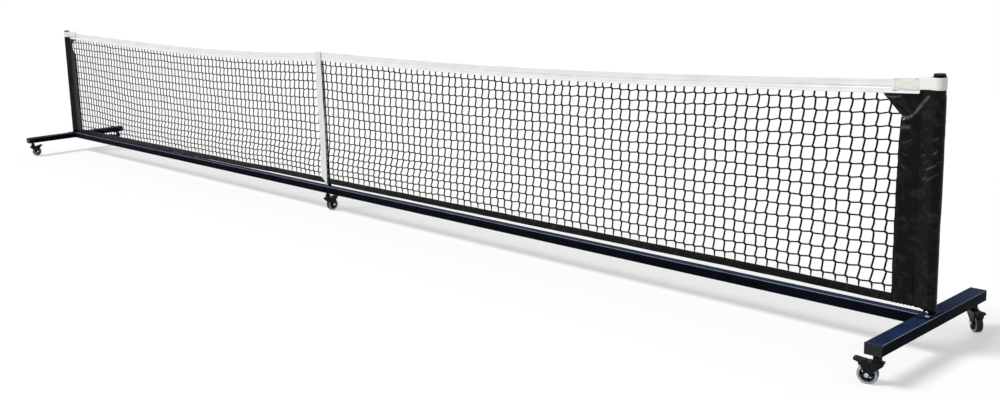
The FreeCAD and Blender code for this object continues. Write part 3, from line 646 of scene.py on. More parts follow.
def make_camera():
    """The camera turned by yaw about the vertical, pitched down, then rolled about its view."""
    cos_yaw, sin_yaw = math.cos(CAMERA_YAW), math.sin(CAMERA_YAW)
    cos_pitch, sin_pitch = math.cos(CAMERA_PITCH), math.sin(CAMERA_PITCH)
    cos_roll, sin_roll = math.cos(CAMERA_ROLL), math.sin(CAMERA_ROLL)
    ahead = np.array([-sin_yaw * cos_pitch, cos_yaw * cos_pitch, -sin_pitch])
    level_right = np.array([cos_yaw, sin_yaw, 0.0])
    level_down = np.cross(ahead, level_right)
    right = cos_roll * level_right + sin_roll * level_down
    down = -sin_roll * level_right + cos_roll * level_down
    lens = bpy.data.cameras.new("camera")
    lens.sensor_width = CAMERA_SENSOR
    lens.lens = CAMERA_LENS
    lens.shift_x, lens.shift_y = CAMERA_SHIFT
    lens.clip_end = CAMERA_REACH * MM
    camera = bpy.data.objects.new("camera", lens)
    set_up(camera, right, -down, -ahead, CAMERA_PLACE)
    bpy.context.scene.camera = camera


make_camera()


# Sewing and folds


def crease(along, up, start, end, depth, width):
    """A fold line: depth times a bell of the distance to the run from start to end."""
    start = np.array(start, float)
    run = np.array(end, float) - start
    share = ((along - start[0]) * run[0] + (up - start[1]) * run[1]) / (run @ run)
    share = np.clip(share, 0.0, 1.0)
    gap = np.hypot(along - start[0] - share * run[0], up - start[1] - share * run[1])
    return depth * bell(gap, 0.0, width)


def lengths_along(points):
    """Running length along a line of points."""
    steps = np.linalg.norm(np.diff(points, axis=0), axis=1)
    return np.concatenate([[0.0], np.cumsum(steps)])


def beside(path):
    """Unit way out to the right of a path in its plane, where (x, y) runs along its first axis."""
    ahead = np.gradient(path, axis=0)
    out = np.stack([ahead[..., 1], -ahead[..., 0]], axis=-1)
    return out / np.linalg.norm(out, axis=-1, keepdims=True)


# A stitch: a short thread thick in its middle, four-sided. Its rings are shares of its length
# and their radii in millimetres.
STITCH_LENGTH = 3.4
STITCH_RINGS = np.array([(-0.5, 0.15), (-0.28, 0.5), (0.28, 0.5), (0.5, 0.15)])
STITCH_SIDES = 4
AIM = 0.5
SEWING_STEP = 2.0


def stitches(name, runs, look, pitch):
    """Sewing along runs, each a path on the cloth with the way out of its face.

    One stitch is copied at every pitch, turned to the path between the points AIM before and
    after its middle.
    """
    turns, places = [], []
    for path, out in runs:
        path = np.asarray(path, float)
        out = np.broadcast_to(np.asarray(out, float), path.shape)
        at = lengths_along(path)
        middles = np.arange(pitch / 2, at[-1], pitch)
        place, before, after, way = (
            np.stack([np.interp(middles + shift, at, given[:, k]) for k in range(3)], axis=1)
            for given, shift in ((path, 0.0), (path, -AIM), (path, AIM), (out, 0.0))
        )
        ahead = after - before
        ahead /= np.linalg.norm(ahead, axis=1, keepdims=True)
        across = np.cross(way, ahead)
        across /= np.linalg.norm(across, axis=1, keepdims=True)
        turns.append(np.stack([ahead, across, np.cross(ahead, across)], axis=-1))
        places.append(place)
    stitch = spindle(STITCH_RINGS, STITCH_LENGTH, 1.0, STITCH_SIDES)
    points, faces = many_copies(stitch, np.concatenate(turns), np.concatenate(places))
    return mesh_piece(name, points, faces, "frame", look)


def evenly(line):
    """Points every SEWING_STEP along a line of (across, up) corners, as two rows."""
    line = np.array(line)
    at = lengths_along(line)
    along = np.arange(0.0, at[-1], SEWING_STEP)
    return np.interp(along, at, line[:, 0]), np.interp(along, at, line[:, 1])


# Headband and bottom tape: strips folded along one edge over the net

STRIP_CORNER = 4.0
CORNER_STEP = 0.5
STRIP_STEP = 9.0
CLOTH_WALL = 0.8
STRIP_PITCH = 6.5


def folded_strip(end, outline, edge, sway, bulge):
    """Points, faces and map of a strip folded along one edge, from -end to end, as two walls.

    outline runs from the free edge to the fold as (distance from the net's plane, height
    above edge(x)); the other wall mirrors it. Both walls move together by sway(x, height)
    and apart by bulge(x, height). The free edge's corners are rounded at the strip's ends.
    """
    first = np.array(outline, float)
    profile = np.concatenate([first, (first[::-1] * (-1, 1))[1:]])
    near_end = end - np.arange(0.0, STRIP_CORNER, CORNER_STEP)
    places = np.linspace(-end, end, int(2 * end / STRIP_STEP) + 1)
    x = np.unique(np.concatenate([places, near_end, -near_end]))[:, None]
    wall, height = profile[None, :, 0], profile[None, :, 1]
    free, fold = first[0, 1], first[-1, 1]
    corner = np.clip(STRIP_CORNER - (end - np.abs(x)), 0.0, STRIP_CORNER)
    lift = STRIP_CORNER - np.sqrt(STRIP_CORNER**2 - corner**2)
    up = height + lift * np.sign(fold - free) * (height - fold) / (free - fold)
    y = wall + sway(x, height) + np.sign(wall) * bulge(x, height)
    points = np.stack([x + 0 * wall, y, edge(x) + up], axis=-1)
    cut = np.stack(np.broadcast_arrays(x, lengths_along(profile)[None]), axis=-1)
    return points, grid_faces(*y.shape), cut


def seam_run(end, height, side, outline, edge, sway, bulge):
    """A line of sewing on one wall of a folded strip, at that height above edge(x)."""
    x = np.arange(-end, end, SEWING_STEP)
    walls = np.array(sorted(outline, key=lambda point: point[1]))
    wall = np.interp(height, walls[:, 1], np.abs(walls[:, 0]))
    y = side * (wall + bulge(x, height)) + sway(x, height)
    return np.stack([x, y, edge(x) + height], axis=1), (0.0, side, 0.0)


def make_strip(node, names, looks, end, shape, sewn_to, seams):
    """A folded strip and its lines of sewing, which run to sewn_to at the heights in seams.

    names and looks are those of the cloth and of its sewing.
    """
    points, faces, cut = folded_strip(end, **shape)
    cloth = mesh_piece(names[0], points, faces, "frame", looks[0], cut)
    thicken(cloth, CLOTH_WALL)
    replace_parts(cloth, node)
    runs = [seam_run(sewn_to, height, side, **shape) for side in (-1.0, 1.0) for height in seams]
    sewing = stitches(names[1], runs, looks[1], STRIP_PITCH)


# Headband: the hem flares at the free edge, and the points are close together where the
# upper seam presses its groove
BAND_OUTLINE = [
    (-4.8, -50.8), (-5.0, -50.0), (-4.4, -46.4), (-3.4, -42.8), (-3.6, -39.0), (-3.6, -34.0),
    (-3.5, -32.6), (-3.4, -31.6), (-3.4, -30.8), (-3.4, -30.0), (-3.4, -29.0), (-3.4, -27.0),
    (-3.4, -22.0), (-3.5, -15.0), (-3.8, -10.0), (-4.0, -6.5), (-3.8, -3.6), (-3.0, -1.5),
    (-1.8, -0.4), (0.0, 0.0),
]
BAND_STITCH_UP = 8.0
SEAM_UP = 20.0
SEAM_HALF_WIDTH = 1.5
SEAM_SHORT = 5.0
BAND_PUCKER = 19.0
BAND_CREASES = [
    ((2800, -14), (3000, -26), 0.9, 5.0),
    ((2870, -24), (3060, -17), -0.7, 4.0),
]

# Along the band from its middle: where the upper seam tightens, and where the band lies over
# the sleeve and under the end strap. Down it from its top: where its lower part starts.
SEAM_TIGHTENS = (2700.0, 2950.0)
OVER_SLEEVE = (3085.0, 3130.0)
UNDER_STRAP = (3115.0, 3145.0)
LOWER_BAND = (-8.0, -30.0)


def band_sway(x, height):
    """The band's slow wander to and fro, growing towards its free lower edge."""
    waves = [(1.1, 830, 9000, 0.4), (0.8, 347, 900, 1.7), (0.45, 141, -420, 0.2)]
    return ripple(x, height, waves) * (0.35 + 0.65 * np.clip(-height / BAND_HIGH, 0, 1))


def band_bulge(x, height):
    """Fullness between the seams, puckers along them, and room for a sleeve's top."""
    reach = np.abs(x)
    puckers = 0.22 * bell(height + BAND_HIGH, BAND_STITCH_UP, 6.0)
    tight = 0.5 + 0.8 * ramp(reach, *SEAM_TIGHTENS)
    drawn = tight * bell(height + BAND_HIGH, SEAM_UP, SEAM_HALF_WIDTH)
    loose = (
        ripple(x, height, [(0.35, 263, 170, 0.9), (0.25, 119, -95, 2.2)])
        + puckers * np.sin(2 * np.pi * x / BAND_PUCKER)
        + sum(crease(x, height, *line) for line in BAND_CREASES)
    )
    held = 1 - 0.8 * ramp(reach, *UNDER_STRAP)
    return loose * held - drawn + 0.5 * ramp(reach, *OVER_SLEEVE) * ramp(height, *LOWER_BAND)


make_strip(
    "headband",
    ("headband_cloth", "headband_stitching"),
    (WHITE_CLOTH, BAND_SEWING),
    BAND_END,
    {"outline": BAND_OUTLINE, "edge": band_top, "sway": band_sway, "bulge": band_bulge},
    sewn_to=BAND_END - SEAM_SHORT,
    seams=(BAND_STITCH_UP - BAND_HIGH, SEAM_UP - BAND_HIGH),
)

TAPE_OUTLINE = [
    (2.9, 30.0), (3.3, 29.2), (3.3, 24.5), (2.9, 22.8), (2.9, 16.0), (2.9, 9.0), (3.0, 4.5),
    (2.8, 2.0), (1.7, 0.5), (0.0, 0.0),
]
TAPE_STITCH_UP = 22.5
TAPE_PUCKER = 17.0
TAPE_FULL_LOW = 18.0


def tape_sway(x, height):
    """The tape's slow wander, since nothing holds its lower edge."""
    return ripple(x, height, [(1.2, 610, 4000, 1.0), (0.8, 233, 700, 2.6), (0.4, 97, 210, 0.5)])


def tape_bulge(x, height):
    """Fullness of the fold and the puckers that its sewing draws."""
    puckers = 0.2 * bell(height, TAPE_STITCH_UP, 5.0)
    return (
        ripple(x, height, [(0.3, 171, 90, 0.1), (0.2, 67, -50, 1.9)])
        + puckers * np.sin(2 * np.pi * x / TAPE_PUCKER)
        + 0.5 * ramp(height, TAPE_FULL_LOW, 0.0)
    )


make_strip(
    "bottom_tape",
    ("bottom_tape_cloth", "tape_stitching"),
    (BLACK_CLOTH, BLACK_SEWING),
    TAPE_END,
    {"outline": TAPE_OUTLINE, "edge": tape_low, "sway": tape_sway, "bulge": tape_bulge},
    sewn_to=TAPE_END,
    seams=(TAPE_STITCH_UP,),
)


# Top cord and net

CORD_RADIUS = 2.1
CORD_DROP = 3.6
CORD_SHORT = 3.0
STRAND_OUT = 0.5 * CORD_RADIUS
STRAND_RADIUS = 0.56 * CORD_RADIUS
ROPE_STRANDS = 3
ROPE_LAY = 16.0
ROPE_STATIONS = 2400
TWINE_SIDES = 6


def make_top_cord():
    """Three strands laid round each other along the fold: each a helix of pitch ROPE_LAY."""
    x = np.linspace(-BAND_END + CORD_SHORT, BAND_END - CORD_SHORT, ROPE_STATIONS)
    phase = np.arange(ROPE_STRANDS)[:, None] * 2 * np.pi / ROPE_STRANDS
    turn = 2 * np.pi * x[None] / ROPE_LAY + phase
    y = STRAND_OUT * np.cos(turn)
    z = band_top(x) - CORD_DROP + STRAND_OUT * np.sin(turn)
    paths = np.stack([x + 0 * turn, y, z], axis=-1)
    points, faces = many_tubes(paths, STRAND_RADIUS, TWINE_SIDES, UPWARDS)
    cord = mesh_piece("top_cord_rope", points, faces, "frame", TWINE_BLACK)
    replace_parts(cord, "top_cord")


make_top_cord()

NET_END = 3186.0
MESH_COLUMNS = 144
KNOT_ROWS = 15
FIRST_KNOT_DROP = 22.0
LAST_KNOT_RISE = 27.0
NET_LEAN = 30.0
NET_CROWDING = 0.32

# Places along the net between which it grows slack, from its left end and from its right,
# and the shares of its height over which its lower rows come to lean
SLACK_FROM_LEFT = (-3000.0, -2100.0)
SLACK_FROM_RIGHT = (1700.0, 200.0)
LEANING_ROWS = (0.62, 0.92)

# A knot runs from the upper left to the lower right; strands meet it at its two ends. The
# twine's and the knot's thicknesses are radii.
KNOT_HALF = np.array([3.8, 0.0, -2.0])
TWINE = 3.3
ROW_TWINE = 2.9
PRESSED_TWINE = 1.5
KNOT_RINGS = np.array([
    (-1.25, 0.35), (-0.95, 0.9), (-0.45, 1.35), (0.0, 1.2), (0.45, 1.35), (0.95, 0.9),
    (1.25, 0.35),
])
KNOT_TILT = 0.12

# How far a knot is off its place, as the spread of a random number, and how far the strands
# bow: the spread and the mean of each
OFF_X, OFF_Y, OFF_Z = 1.0, 0.3, 0.9
UPRIGHT_BOW = (0.7, (0.9, 0.0, 0.0))
ROW_BOW = (0.5, (0.0, 0.0, -0.8))
UPRIGHT_SHARES = (0.0, 0.16, 0.5, 0.84, 1.0)
ROW_SHARES = (0.0, 0.25, 0.75, 1.0)

# How far below the headband's top edge the uprights start, and how far above the tape's
# lower edge they end. They sway with each within HEM_REACH of its hem, and grow thin from
# the first to the second of these distances outside the hem.
START_DROP = 30.0
END_RISE = 7.0
HEM_REACH = 20.0
BAND_PRESSES = (0.0, -12.0)
TAPE_PRESSES = (6.0, -2.0)


def knot_places():
    """Middles of the knots: columns along the net, rows sharing out the height between edges.

    Each is a little off its place, and the knots of one row wander up and down slowly. Near
    the centre strap the net is slack, so its lower rows crowd together and lean to the left.
    Gives the columns' places in the headband and in the tape, and the knots.
    """
    columns = np.linspace(-NET_END, NET_END, MESH_COLUMNS + 1)
    high = band_top(columns) - BAND_HIGH - FIRST_KNOT_DROP
    low = tape_low(columns) + TAPE_HIGH + LAST_KNOT_RISE
    slack = (ramp(columns, *SLACK_FROM_LEFT) * ramp(columns, *SLACK_FROM_RIGHT))[:, None]
    row = (np.arange(KNOT_ROWS) / (KNOT_ROWS - 1))[None]
    share = row + NET_CROWDING * slack * row**2 * (1 - row)
    z = high[:, None] + share * (low - high)[:, None]
    x = columns[:, None] - NET_LEAN * slack * ramp(row, *LEANING_ROWS)
    wander = ripple(x, z, [(1.6, 760, 300, 0.7), (1.2, 330, -210, 2.0)])
    x = x + random.normal(0.0, OFF_X, x.shape) + wander
    z = z + random.normal(0.0, OFF_Z, z.shape) + 0.8 * wander
    y = random.normal(0.0, OFF_Y, z.shape)
    return columns, columns - NET_LEAN * slack[:, 0], np.stack([x, y, z], axis=-1)


def strands(starts, ends, shares, bow):
    """Paths through pairs of points: each run bows by a random amount times the arch 4t(1-t).

    shares are the values of t along a run, and bow is (spread, mean).
    """
    spread, mean = bow
    bow = random.normal(0.0, spread, starts.shape) + mean
    t = np.array(shares)[:, None]
    arch = 4 * t * (1 - t)
    runs = starts[:, :, None] * (1 - t) + ends[:, :, None] * t + bow[..., None, :] * arch
    return runs.reshape(len(starts), -1, 3)


def net_piece(name, points, faces):
    """One of the three pieces that together stand for the CAD's net."""
    piece = mesh_piece(name, points, faces, "frame", TWINE_BLACK)
    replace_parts(piece, "net")


def make_uprights(columns, feet, knots):
    """Strands from the headband down through the knots to the tape.

    They follow the headband and the tape sideways, and are pressed thin in them.
    """
    top = np.stack([columns, 0 * columns, band_top(columns) - START_DROP], axis=-1)[:, None]
    bottom = np.stack([feet, 0 * feet, tape_low(feet) + END_RISE], axis=-1)[:, None]
    starts = np.concatenate([top, knots + KNOT_HALF], axis=1)
    ends = np.concatenate([knots - KNOT_HALF, bottom], axis=1)
    paths = strands(starts, ends, UPRIGHT_SHARES, UPRIGHT_BOW)
    x, z = paths[..., 0], paths[..., 2]
    under_band = band_top(x) - BAND_HIGH - z
    over_tape = z - tape_low(x) - TAPE_HIGH
    paths[..., 1] += ramp(under_band, HEM_REACH, 0.0) * band_sway(x, z - band_top(x))
    paths[..., 1] += ramp(over_tape, HEM_REACH, 0.0) * tape_sway(x, z - tape_low(x))
    pressed = np.maximum(ramp(under_band, *BAND_PRESSES), ramp(over_tape, *TAPE_PRESSES))
    radius = TWINE + (PRESSED_TWINE - TWINE) * pressed
    net_piece("net_uprights", *many_tubes(paths, radius, TWINE_SIDES, REARWARDS))


def make_rows(knots):
    """Strands along the net from knot to knot, sagging a little between them."""
    rows = np.swapaxes(knots, 0, 1)
    starts = rows[:, :-1] + KNOT_HALF
    ends = rows[:, 1:] - KNOT_HALF
    paths = strands(starts, ends, ROW_SHARES, ROW_BOW)
    net_piece("net_rows", *many_tubes(paths, ROW_TWINE, TWINE_SIDES, REARWARDS))


def make_knots(knots):
    """A spindle at each knot along KNOT_HALF, turned about Y by a random tilt."""
    knot = spindle(KNOT_RINGS, np.linalg.norm(KNOT_HALF), TWINE, TWINE_SIDES)
    places = knots.reshape(-1, 3)
    tilt = math.atan2(KNOT_HALF[2], KNOT_HALF[0]) + random.normal(0.0, KNOT_TILT, len(places))
    cos, sin, none = np.cos(tilt), np.sin(tilt), 0 * tilt
    turns = np.array([[cos, none, -sin], [none, none + 1, none], [sin, none, cos]])
    net_piece("net_knots", *many_copies(knot, np.moveaxis(turns, -1, 0), places))


columns, feet, knots = knot_places()
make_uprights(columns, feet, knots)
make_rows(knots)
make_knots(knots)


# Post caps: a flat disc with an eased rim on the tube's end, and a plug down inside it

CAP_TOP = 931.0
CAP_RADIUS = 17.8
CAP_EASE = 2.2
CAP_GAP = 0.05
PLUG_RADIUS = 16.6
PLUG_LONG = 16.0


def make_post_caps():
    """Each cap is a profile from the axis over the rim's quarter circle and down the plug."""
    seat = POST_TOP + CAP_GAP
    foot = seat - PLUG_LONG
    turn = np.linspace(0.0, np.pi / 2, 7)
    rim_out = CAP_RADIUS - CAP_EASE + CAP_EASE * np.sin(turn)
    rim_up = CAP_TOP - CAP_EASE + CAP_EASE * np.cos(turn)
    rim = np.stack([rim_out, rim_up], axis=1)
    plug = [(CAP_RADIUS, seat), (PLUG_RADIUS, seat), (PLUG_RADIUS, foot), (0.0, foot)]
    profile = np.concatenate([[(0.0, CAP_TOP), (CAP_RADIUS / 2, CAP_TOP)], rim, plug])
    for name, side in (("right_post_cap", 1.0), ("left_post_cap", -1.0)):
        place = ((side * POST_X, 0.0, 0.0), UPWARDS, ACROSS)
        cap = lathe_piece(name, profile, 64, place, "frame", MOULDED)
        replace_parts(cap, "post_caps")


make_post_caps()


# Sleeves, in a post's own frame with the net towards -X

PANEL_REACH = 127.0
PANEL_HIGH = 873.0
PANEL_HALF = 4.3
NECK = 50.0
SLEEVE_RADIUS = 20.9
SLEEVE_LEAVES = math.radians(101.5)
SLEEVE_TOP = STRAP_LOW + 7.0

# Columns of a sleeve's front half: the panel from its inner edge to the neck seam and the
# flare from there to the post, both as shares, and the angles of its turn round the post
PANEL = np.linspace(0.0, 1.0, 46)
FLARE = np.linspace(0.0, 1.0, 12)[1:]
ROUND_POST = np.linspace(-SLEEVE_LEAVES, 0.0, 18)[1:]
FLARE_POWER = 1.15
TOUCH_X = SLEEVE_RADIUS * math.cos(SLEEVE_LEAVES)
TOUCH_Y = -SLEEVE_RADIUS * math.sin(SLEEVE_LEAVES)

# Rows of a sleeve, closer together in its upper part
SLEEVE_ROWS = np.concatenate([np.linspace(0, 0.6, 72)[:-1], np.linspace(0.6, 1, 130)])

# Distances from the inner edge and from the lower edge over which a hem ends, and the
# heights over which the cloth is tucked into the headband, hangs loose at the post, and is
# held by the headband and the strap
SIDE_HEM = (12.5, 11.0)
LOW_HEM = (15.5, 14.0)
TUCKED = (836.0, 856.0)
LOOSE_FROM = (430.0, 550.0)
LOOSE_TO = (870.0, 850.0)
HELD = (840.0, 860.0)

# How far the panel's walls close in or stand out at each, and how wide each closing is
EDGE_CLOSES, EDGE_WIDTH = 1.5, 9.0
SEAM_CLOSES, SEAM_WIDTH = 1.9, 6.0
TUCK_CLOSES = 1.6
SIDE_HEM_STANDS = 0.5
LOW_HEM_STANDS = 0.45
POST_SLACK = 1.8
DEEPEST_DENT = -1.3
# Fold height at which the painted highlight on a fold reaches its full paleness
FULL_CREST = 2.6

# Right sleeve's inner edge: height and distance from the post's middle, drawn in to a tack
# below the corner gusset
CORNER_EDGE = np.array([
    (350, 127), (510, 125.5), (700, 121.5), (783, 117), (787, 112.5), (857, 178),
])

# Left sleeve's inner edge: a notch of half an ellipse below the headband, then a corner
NOTCH_DEPTH = 50.0
NOTCH_MIDDLE = 806.0
NOTCH_HALF = 50.0
NOTCH_CORNER = 33.0
NOTCH_CORNER_RISES = (850.0, 864.0)

# Where the cloth is pulled into folds: start, end, height and width of each, with the places
# as (across, up)
CORNER_FOLD = [(-28, 855), (-48, 832), (-65, 806), (-80, 789), (-95, 782), (-110, 783)]
BAND_FOLD = [(-172, 851), (-157, 847), (-138, 847), (-120, 851)]
RIGHT_FOLDS = (
    [(start, end, 3.4, 5.5) for start, end in zip(CORNER_FOLD, CORNER_FOLD[1:])]
    + [(start, end, 2.4, 2.8) for start, end in zip(BAND_FOLD, BAND_FOLD[1:])]
    + [
        ((-4, 717), (11, 727), 2.0, 3.2),
        ((-2, 673), (10, 684), 2.2, 3.2),
        ((-43, 661), (-30, 670), 1.8, 3.2),
        ((-24, 621), (8, 638), 2.4, 3.6),
        ((12, 648), (22, 652), 1.6, 3.0),
        ((-112, 749), (-90, 752), 2.2, 8.0),
        ((-108, 666), (-93, 658), 1.8, 4.0),
        ((-112, 628), (-98, 615), 1.6, 4.0),
        ((-34, 637), (-18, 651), 1.8, 3.0),
        ((-20, 586), (12, 611), 2.2, 3.4),
        ((-40, 584), (-24, 597), 1.7, 3.0),
        ((-104, 700), (-78, 712), 1.5, 5.0),
    ]
)
LEFT_FOLDS = [
    ((-30, 850), (-80, 846), 2.4, 5.0),
    ((-118, 752), (-60, 700), 2.4, 6.0),
    ((-100, 610), (-55, 560), 1.8, 6.0),
]

# White tacks: bars of parallel threads
TACK_LONG = 6.8
TACK_THREADS = 4
TACK_SLOPE = 2.0
TACK_OUT = 6.4
SLEEVE_PITCH = 6.0


def corner_reach(z):
    """The right sleeve's inner edge: straight runs between the places of CORNER_EDGE."""
    return np.interp(z, CORNER_EDGE[:, 0], CORNER_EDGE[:, 1])


def notch_reach(z):
    """The left sleeve's inner edge: the panel's reach less half an ellipse, then its corner."""
    off = np.clip((z - NOTCH_MIDDLE) / NOTCH_HALF, -1.0, 1.0)
    notch = NOTCH_DEPTH * np.sqrt(1 - off**2)
    return PANEL_REACH - notch + NOTCH_CORNER * ramp(z, *NOTCH_CORNER_RISES)


def panel_places(z, phase, inner_edge):
    """The panel's x and y: the walls close on the net at the inner edge and the neck seam.

    They stand out at the hems and are tucked in behind the headband.
    """
    reach = inner_edge(z) + ripple(z, 0.0, [(0.6, 133, 9999, phase), (0.4, 47, 9999, 1.0)])
    x = -reach * (1 - PANEL[:, None]) - NECK * PANEL[:, None]
    from_edge = x + reach
    closed = EDGE_CLOSES * bell(from_edge, 0.0, EDGE_WIDTH)
    side_hem = SIDE_HEM_STANDS * ramp(from_edge, *SIDE_HEM)
    seam = SEAM_CLOSES * bell(x, -NECK, SEAM_WIDTH)
    tucked = TUCK_CLOSES * ramp(z, *TUCKED)
    low_hem = LOW_HEM_STANDS * ramp(z - SLEEVE_LOW, *LOW_HEM)
    return x, -(PANEL_HALF - closed + side_hem - seam - tucked + low_hem)


def flare_places(z, neck_y):
    """The flare's x and y: from the neck seam to where the sleeve touches the post's turn."""
    go = FLARE[:, None] + 0 * z
    return -NECK + (TOUCH_X + NECK) * go, neck_y + (TOUCH_Y - neck_y) * go**FLARE_POWER


def turn_places(z):
    """The x and y of the turn round the post: a circle, with slack on its outer side."""
    slack = POST_SLACK * ramp(z, *LOOSE_FROM) * ramp(z, *LOOSE_TO)
    cos, sin = np.cos(ROUND_POST)[:, None], np.sin(ROUND_POST)[:, None]
    return SLEEVE_RADIUS * cos + slack * np.maximum(cos, 0.0), SLEEVE_RADIUS * sin + 0 * z


def sleeve_outline(phase, inner_edge):
    """Outer face of a sleeve before its wrinkles: the section carried up the height."""
    flat, turn = len(PANEL), len(PANEL) + len(FLARE)
    across = np.arange(turn + len(ROUND_POST))[:, None]
    high = PANEL_HIGH + (SLEEVE_TOP - PANEL_HIGH) * ramp(across, flat - 6, flat - 3)
    ragged = 1.2 * np.sin(across * 0.9 + phase) * (1 - SLEEVE_ROWS) ** 8
    z = SLEEVE_LOW + (high - SLEEVE_LOW) * SLEEVE_ROWS + ragged
    panel = panel_places(z[:flat], phase, inner_edge)
    flare = flare_places(z[flat:turn], panel[1][-1])
    x, y = (np.concatenate(runs) for runs in zip(panel, flare, turn_places(z[turn:])))
    front = np.stack([x, y, z], axis=-1)
    return np.concatenate([front, front[::-1][1:] * (1, -1, 1)])


def sleeve_wrinkles(u, z, phase):
    """Crumpling of thin vinyl: slanting ripples whose size itself comes and goes."""
    coming = 0.55 + 0.45 * np.sin(2 * np.pi * (z / 311.0 + u / 210.0) + phase)
    going = 0.55 + 0.45 * np.sin(2 * np.pi * (z / 187.0 - u / 160.0) + 2.1 * phase)
    slow = ripple(z, u, [(0.75, 148, 92, phase), (0.5, 83, -61, 2 * phase)])
    middling = ripple(z, u, [(0.7, 43, 57, 1.3 * phase), (0.5, 36, -71, 0.7 * phase)])
    fine = ripple(z, u, [(0.28, 25, 44, 3 * phase), (0.22, 17, -31, phase), (0.12, 11, 19, 0.4)])
    return slow * coming + middling * coming * going + fine * going


def sleeve_points(phase, inner_edge, folds):
    """Points, map and crests of a sleeve: its outline moved out by the wrinkles and folds.

    The wrinkles are small round the post, at the neck seam and where the top is held, and
    the folds are on the front only.
    """
    whole = sleeve_outline(phase, inner_edge)
    x, y, z = np.moveaxis(whole, -1, 0)
    u = lengths_along(whole[:, len(SLEEVE_ROWS) // 3, :2])[:, None] + 0 * z
    room = np.ones((len(whole), 1))
    room[len(PANEL) + 4 : -len(PANEL) - 4] = 0.35
    held = 1 - 0.75 * ramp(z, *HELD)
    free = 1 - 0.7 * bell(x, -NECK, 7.0)
    wrinkle = 0.95 * sleeve_wrinkles(u, z, phase) * room * held * free
    pulled = np.max([crease(x, z, *fold) for fold in folds], axis=0) * (y < 0)
    # crest: how high a fold stands, where the black cloth paints its pale grey highlight
    crest = np.clip(pulled / FULL_CREST, 0.0, 1.0) ** 2
    out = beside(whole[..., :2]) * (np.maximum(wrinkle, DEEPEST_DENT) + pulled)[..., None]
    cut = np.stack([u, z], axis=-1)
    return whole + np.pad(out, ((0, 0), (0, 0), (0, 1))), cut, crest


def to_post(points, side):
    """From a post's own frame to the frame's, turned half round for the left post."""
    return points * (side, side, 1.0) + (side * POST_X, 0.0, 0.0)


def sleeve_sewing(points, side):
    """Runs down the inner hem and the neck seam and along the lower hem, on both faces."""
    flat = len(PANEL)
    runs = []
    for half, sign in ((points, -side), (points[::-1], side)):
        out = (0.0, sign, 0.0)
        lines = (half[5, :-8], half[flat - 1, :-8], half[3 : flat + 4, 2])
        runs += [(line, out) for line in lines]
    return runs


def tack_bars(tacks, side):
    """Threads of the tacks on the front face; each tack is at (across, up)."""
    bars = []
    for across, up in tacks:
        for row in range(TACK_THREADS):
            start = (across, -TACK_OUT, up + row)
            end = (across + TACK_LONG, -TACK_OUT, up + row + TACK_SLOPE)
            bars.append((to_post(np.array([start, end]), side), (0.0, -side, 0.0)))
    return bars


def make_sleeve(name, side, phase, inner_edge, folds, tacks):
    """One sleeve with its sewing and its tacks."""
    whole, cut, crest = sleeve_points(phase, inner_edge, folds)
    points = to_post(whole, side)
    faces = grid_faces(*whole.shape[:2])
    piece = mesh_piece(f"{name}_cloth", points, faces, "frame", BLACK_CLOTH, cut, crest)
    thicken(piece, CLOTH_WALL)
    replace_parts(piece, name)
    runs = sleeve_sewing(points, side)
    sewing = stitches(f"{name}_stitching", runs, BLACK_SEWING, SLEEVE_PITCH)
    bars = tack_bars(tacks, side)
    tacking = stitches(f"{name}_tacks", bars, STRAP_SEWING, STITCH_LENGTH)
    reach = inner_edge(np.linspace(SLEEVE_LOW, SLEEVE_HIGH, 400)) - PANEL_REACH


make_sleeve("right_sleeve", 1.0, 0.6, corner_reach, RIGHT_FOLDS, [(-109, 775), (-31, 852)])
make_sleeve("left_sleeve", -1.0, 2.3, notch_reach, LEFT_FOLDS, [(-119, 746)])


# End straps, in a post's own frame

STRAP_BEND = 61.0
STRAP_FACE = 5.9
STRAP_RADIUS = 22.7
STRAP_WALL = 1.5
STRAP_SPREAD = 1.0
STRAP_LEVEL = -20.0
STRAP_END_FOLD = (11.0, 9.0)
STRAP_PITCH = 4.6
DRAWN_IN = 0.5
DRAWN_WIDTH = 1.3
BOX_FROM_END = 5.0
BOX_FROM_BEND = 2.0
BOX_FROM_EDGE = 4.0


def strap_path(reach):
    """Outer face of an end strap's run, from its front end round the post to its back end."""
    straight = np.linspace(-reach, -STRAP_BEND, 60)
    touch_x = STRAP_RADIUS * math.cos(SLEEVE_LEAVES)
    touch_y = -STRAP_RADIUS * math.sin(SLEEVE_LEAVES)
    go = np.linspace(0.0, 1.0, 16)[1:-1]
    turn = np.linspace(-SLEEVE_LEAVES, 0.0, 16)
    folded = 1.1 * ramp(straight + reach, *STRAP_END_FOLD)
    leaving = 0.85 * go + 0.15 * ramp(go, 0.0, 1.0)
    flare_x = -STRAP_BEND + (touch_x + STRAP_BEND) * go
    flare_y = -STRAP_FACE + (touch_y + STRAP_FACE) * leaving
    x = np.concatenate([straight, flare_x, STRAP_RADIUS * np.cos(turn)])
    y = np.concatenate([-STRAP_FACE - folded, flare_y, STRAP_RADIUS * np.sin(turn)])
    front = np.stack([x, y], axis=1)
    return np.concatenate([front, (front[::-1] * (1, -1))[1:]])


def strap_rise(x, lie):
    """How much higher the strap lies at x than the CAD strap: lie is (at the post, slope)."""
    at_post, slope = lie
    return at_post + slope * np.minimum(x - STRAP_LEVEL, 0.0)


def sewn_lines(reach):
    """Box with a cross that holds each end of a strap to the headband, as (across, up) lines."""
    left, right = -reach + BOX_FROM_END, -STRAP_BEND - BOX_FROM_BEND
    low, high = STRAP_LOW + BOX_FROM_EDGE, STRAP_HIGH - BOX_FROM_EDGE
    box = [(left, low), (right, low), (right, high), (left, high), (left, low)]
    return [box, [(left, low), (right, high)], [(left, high), (right, low)]]


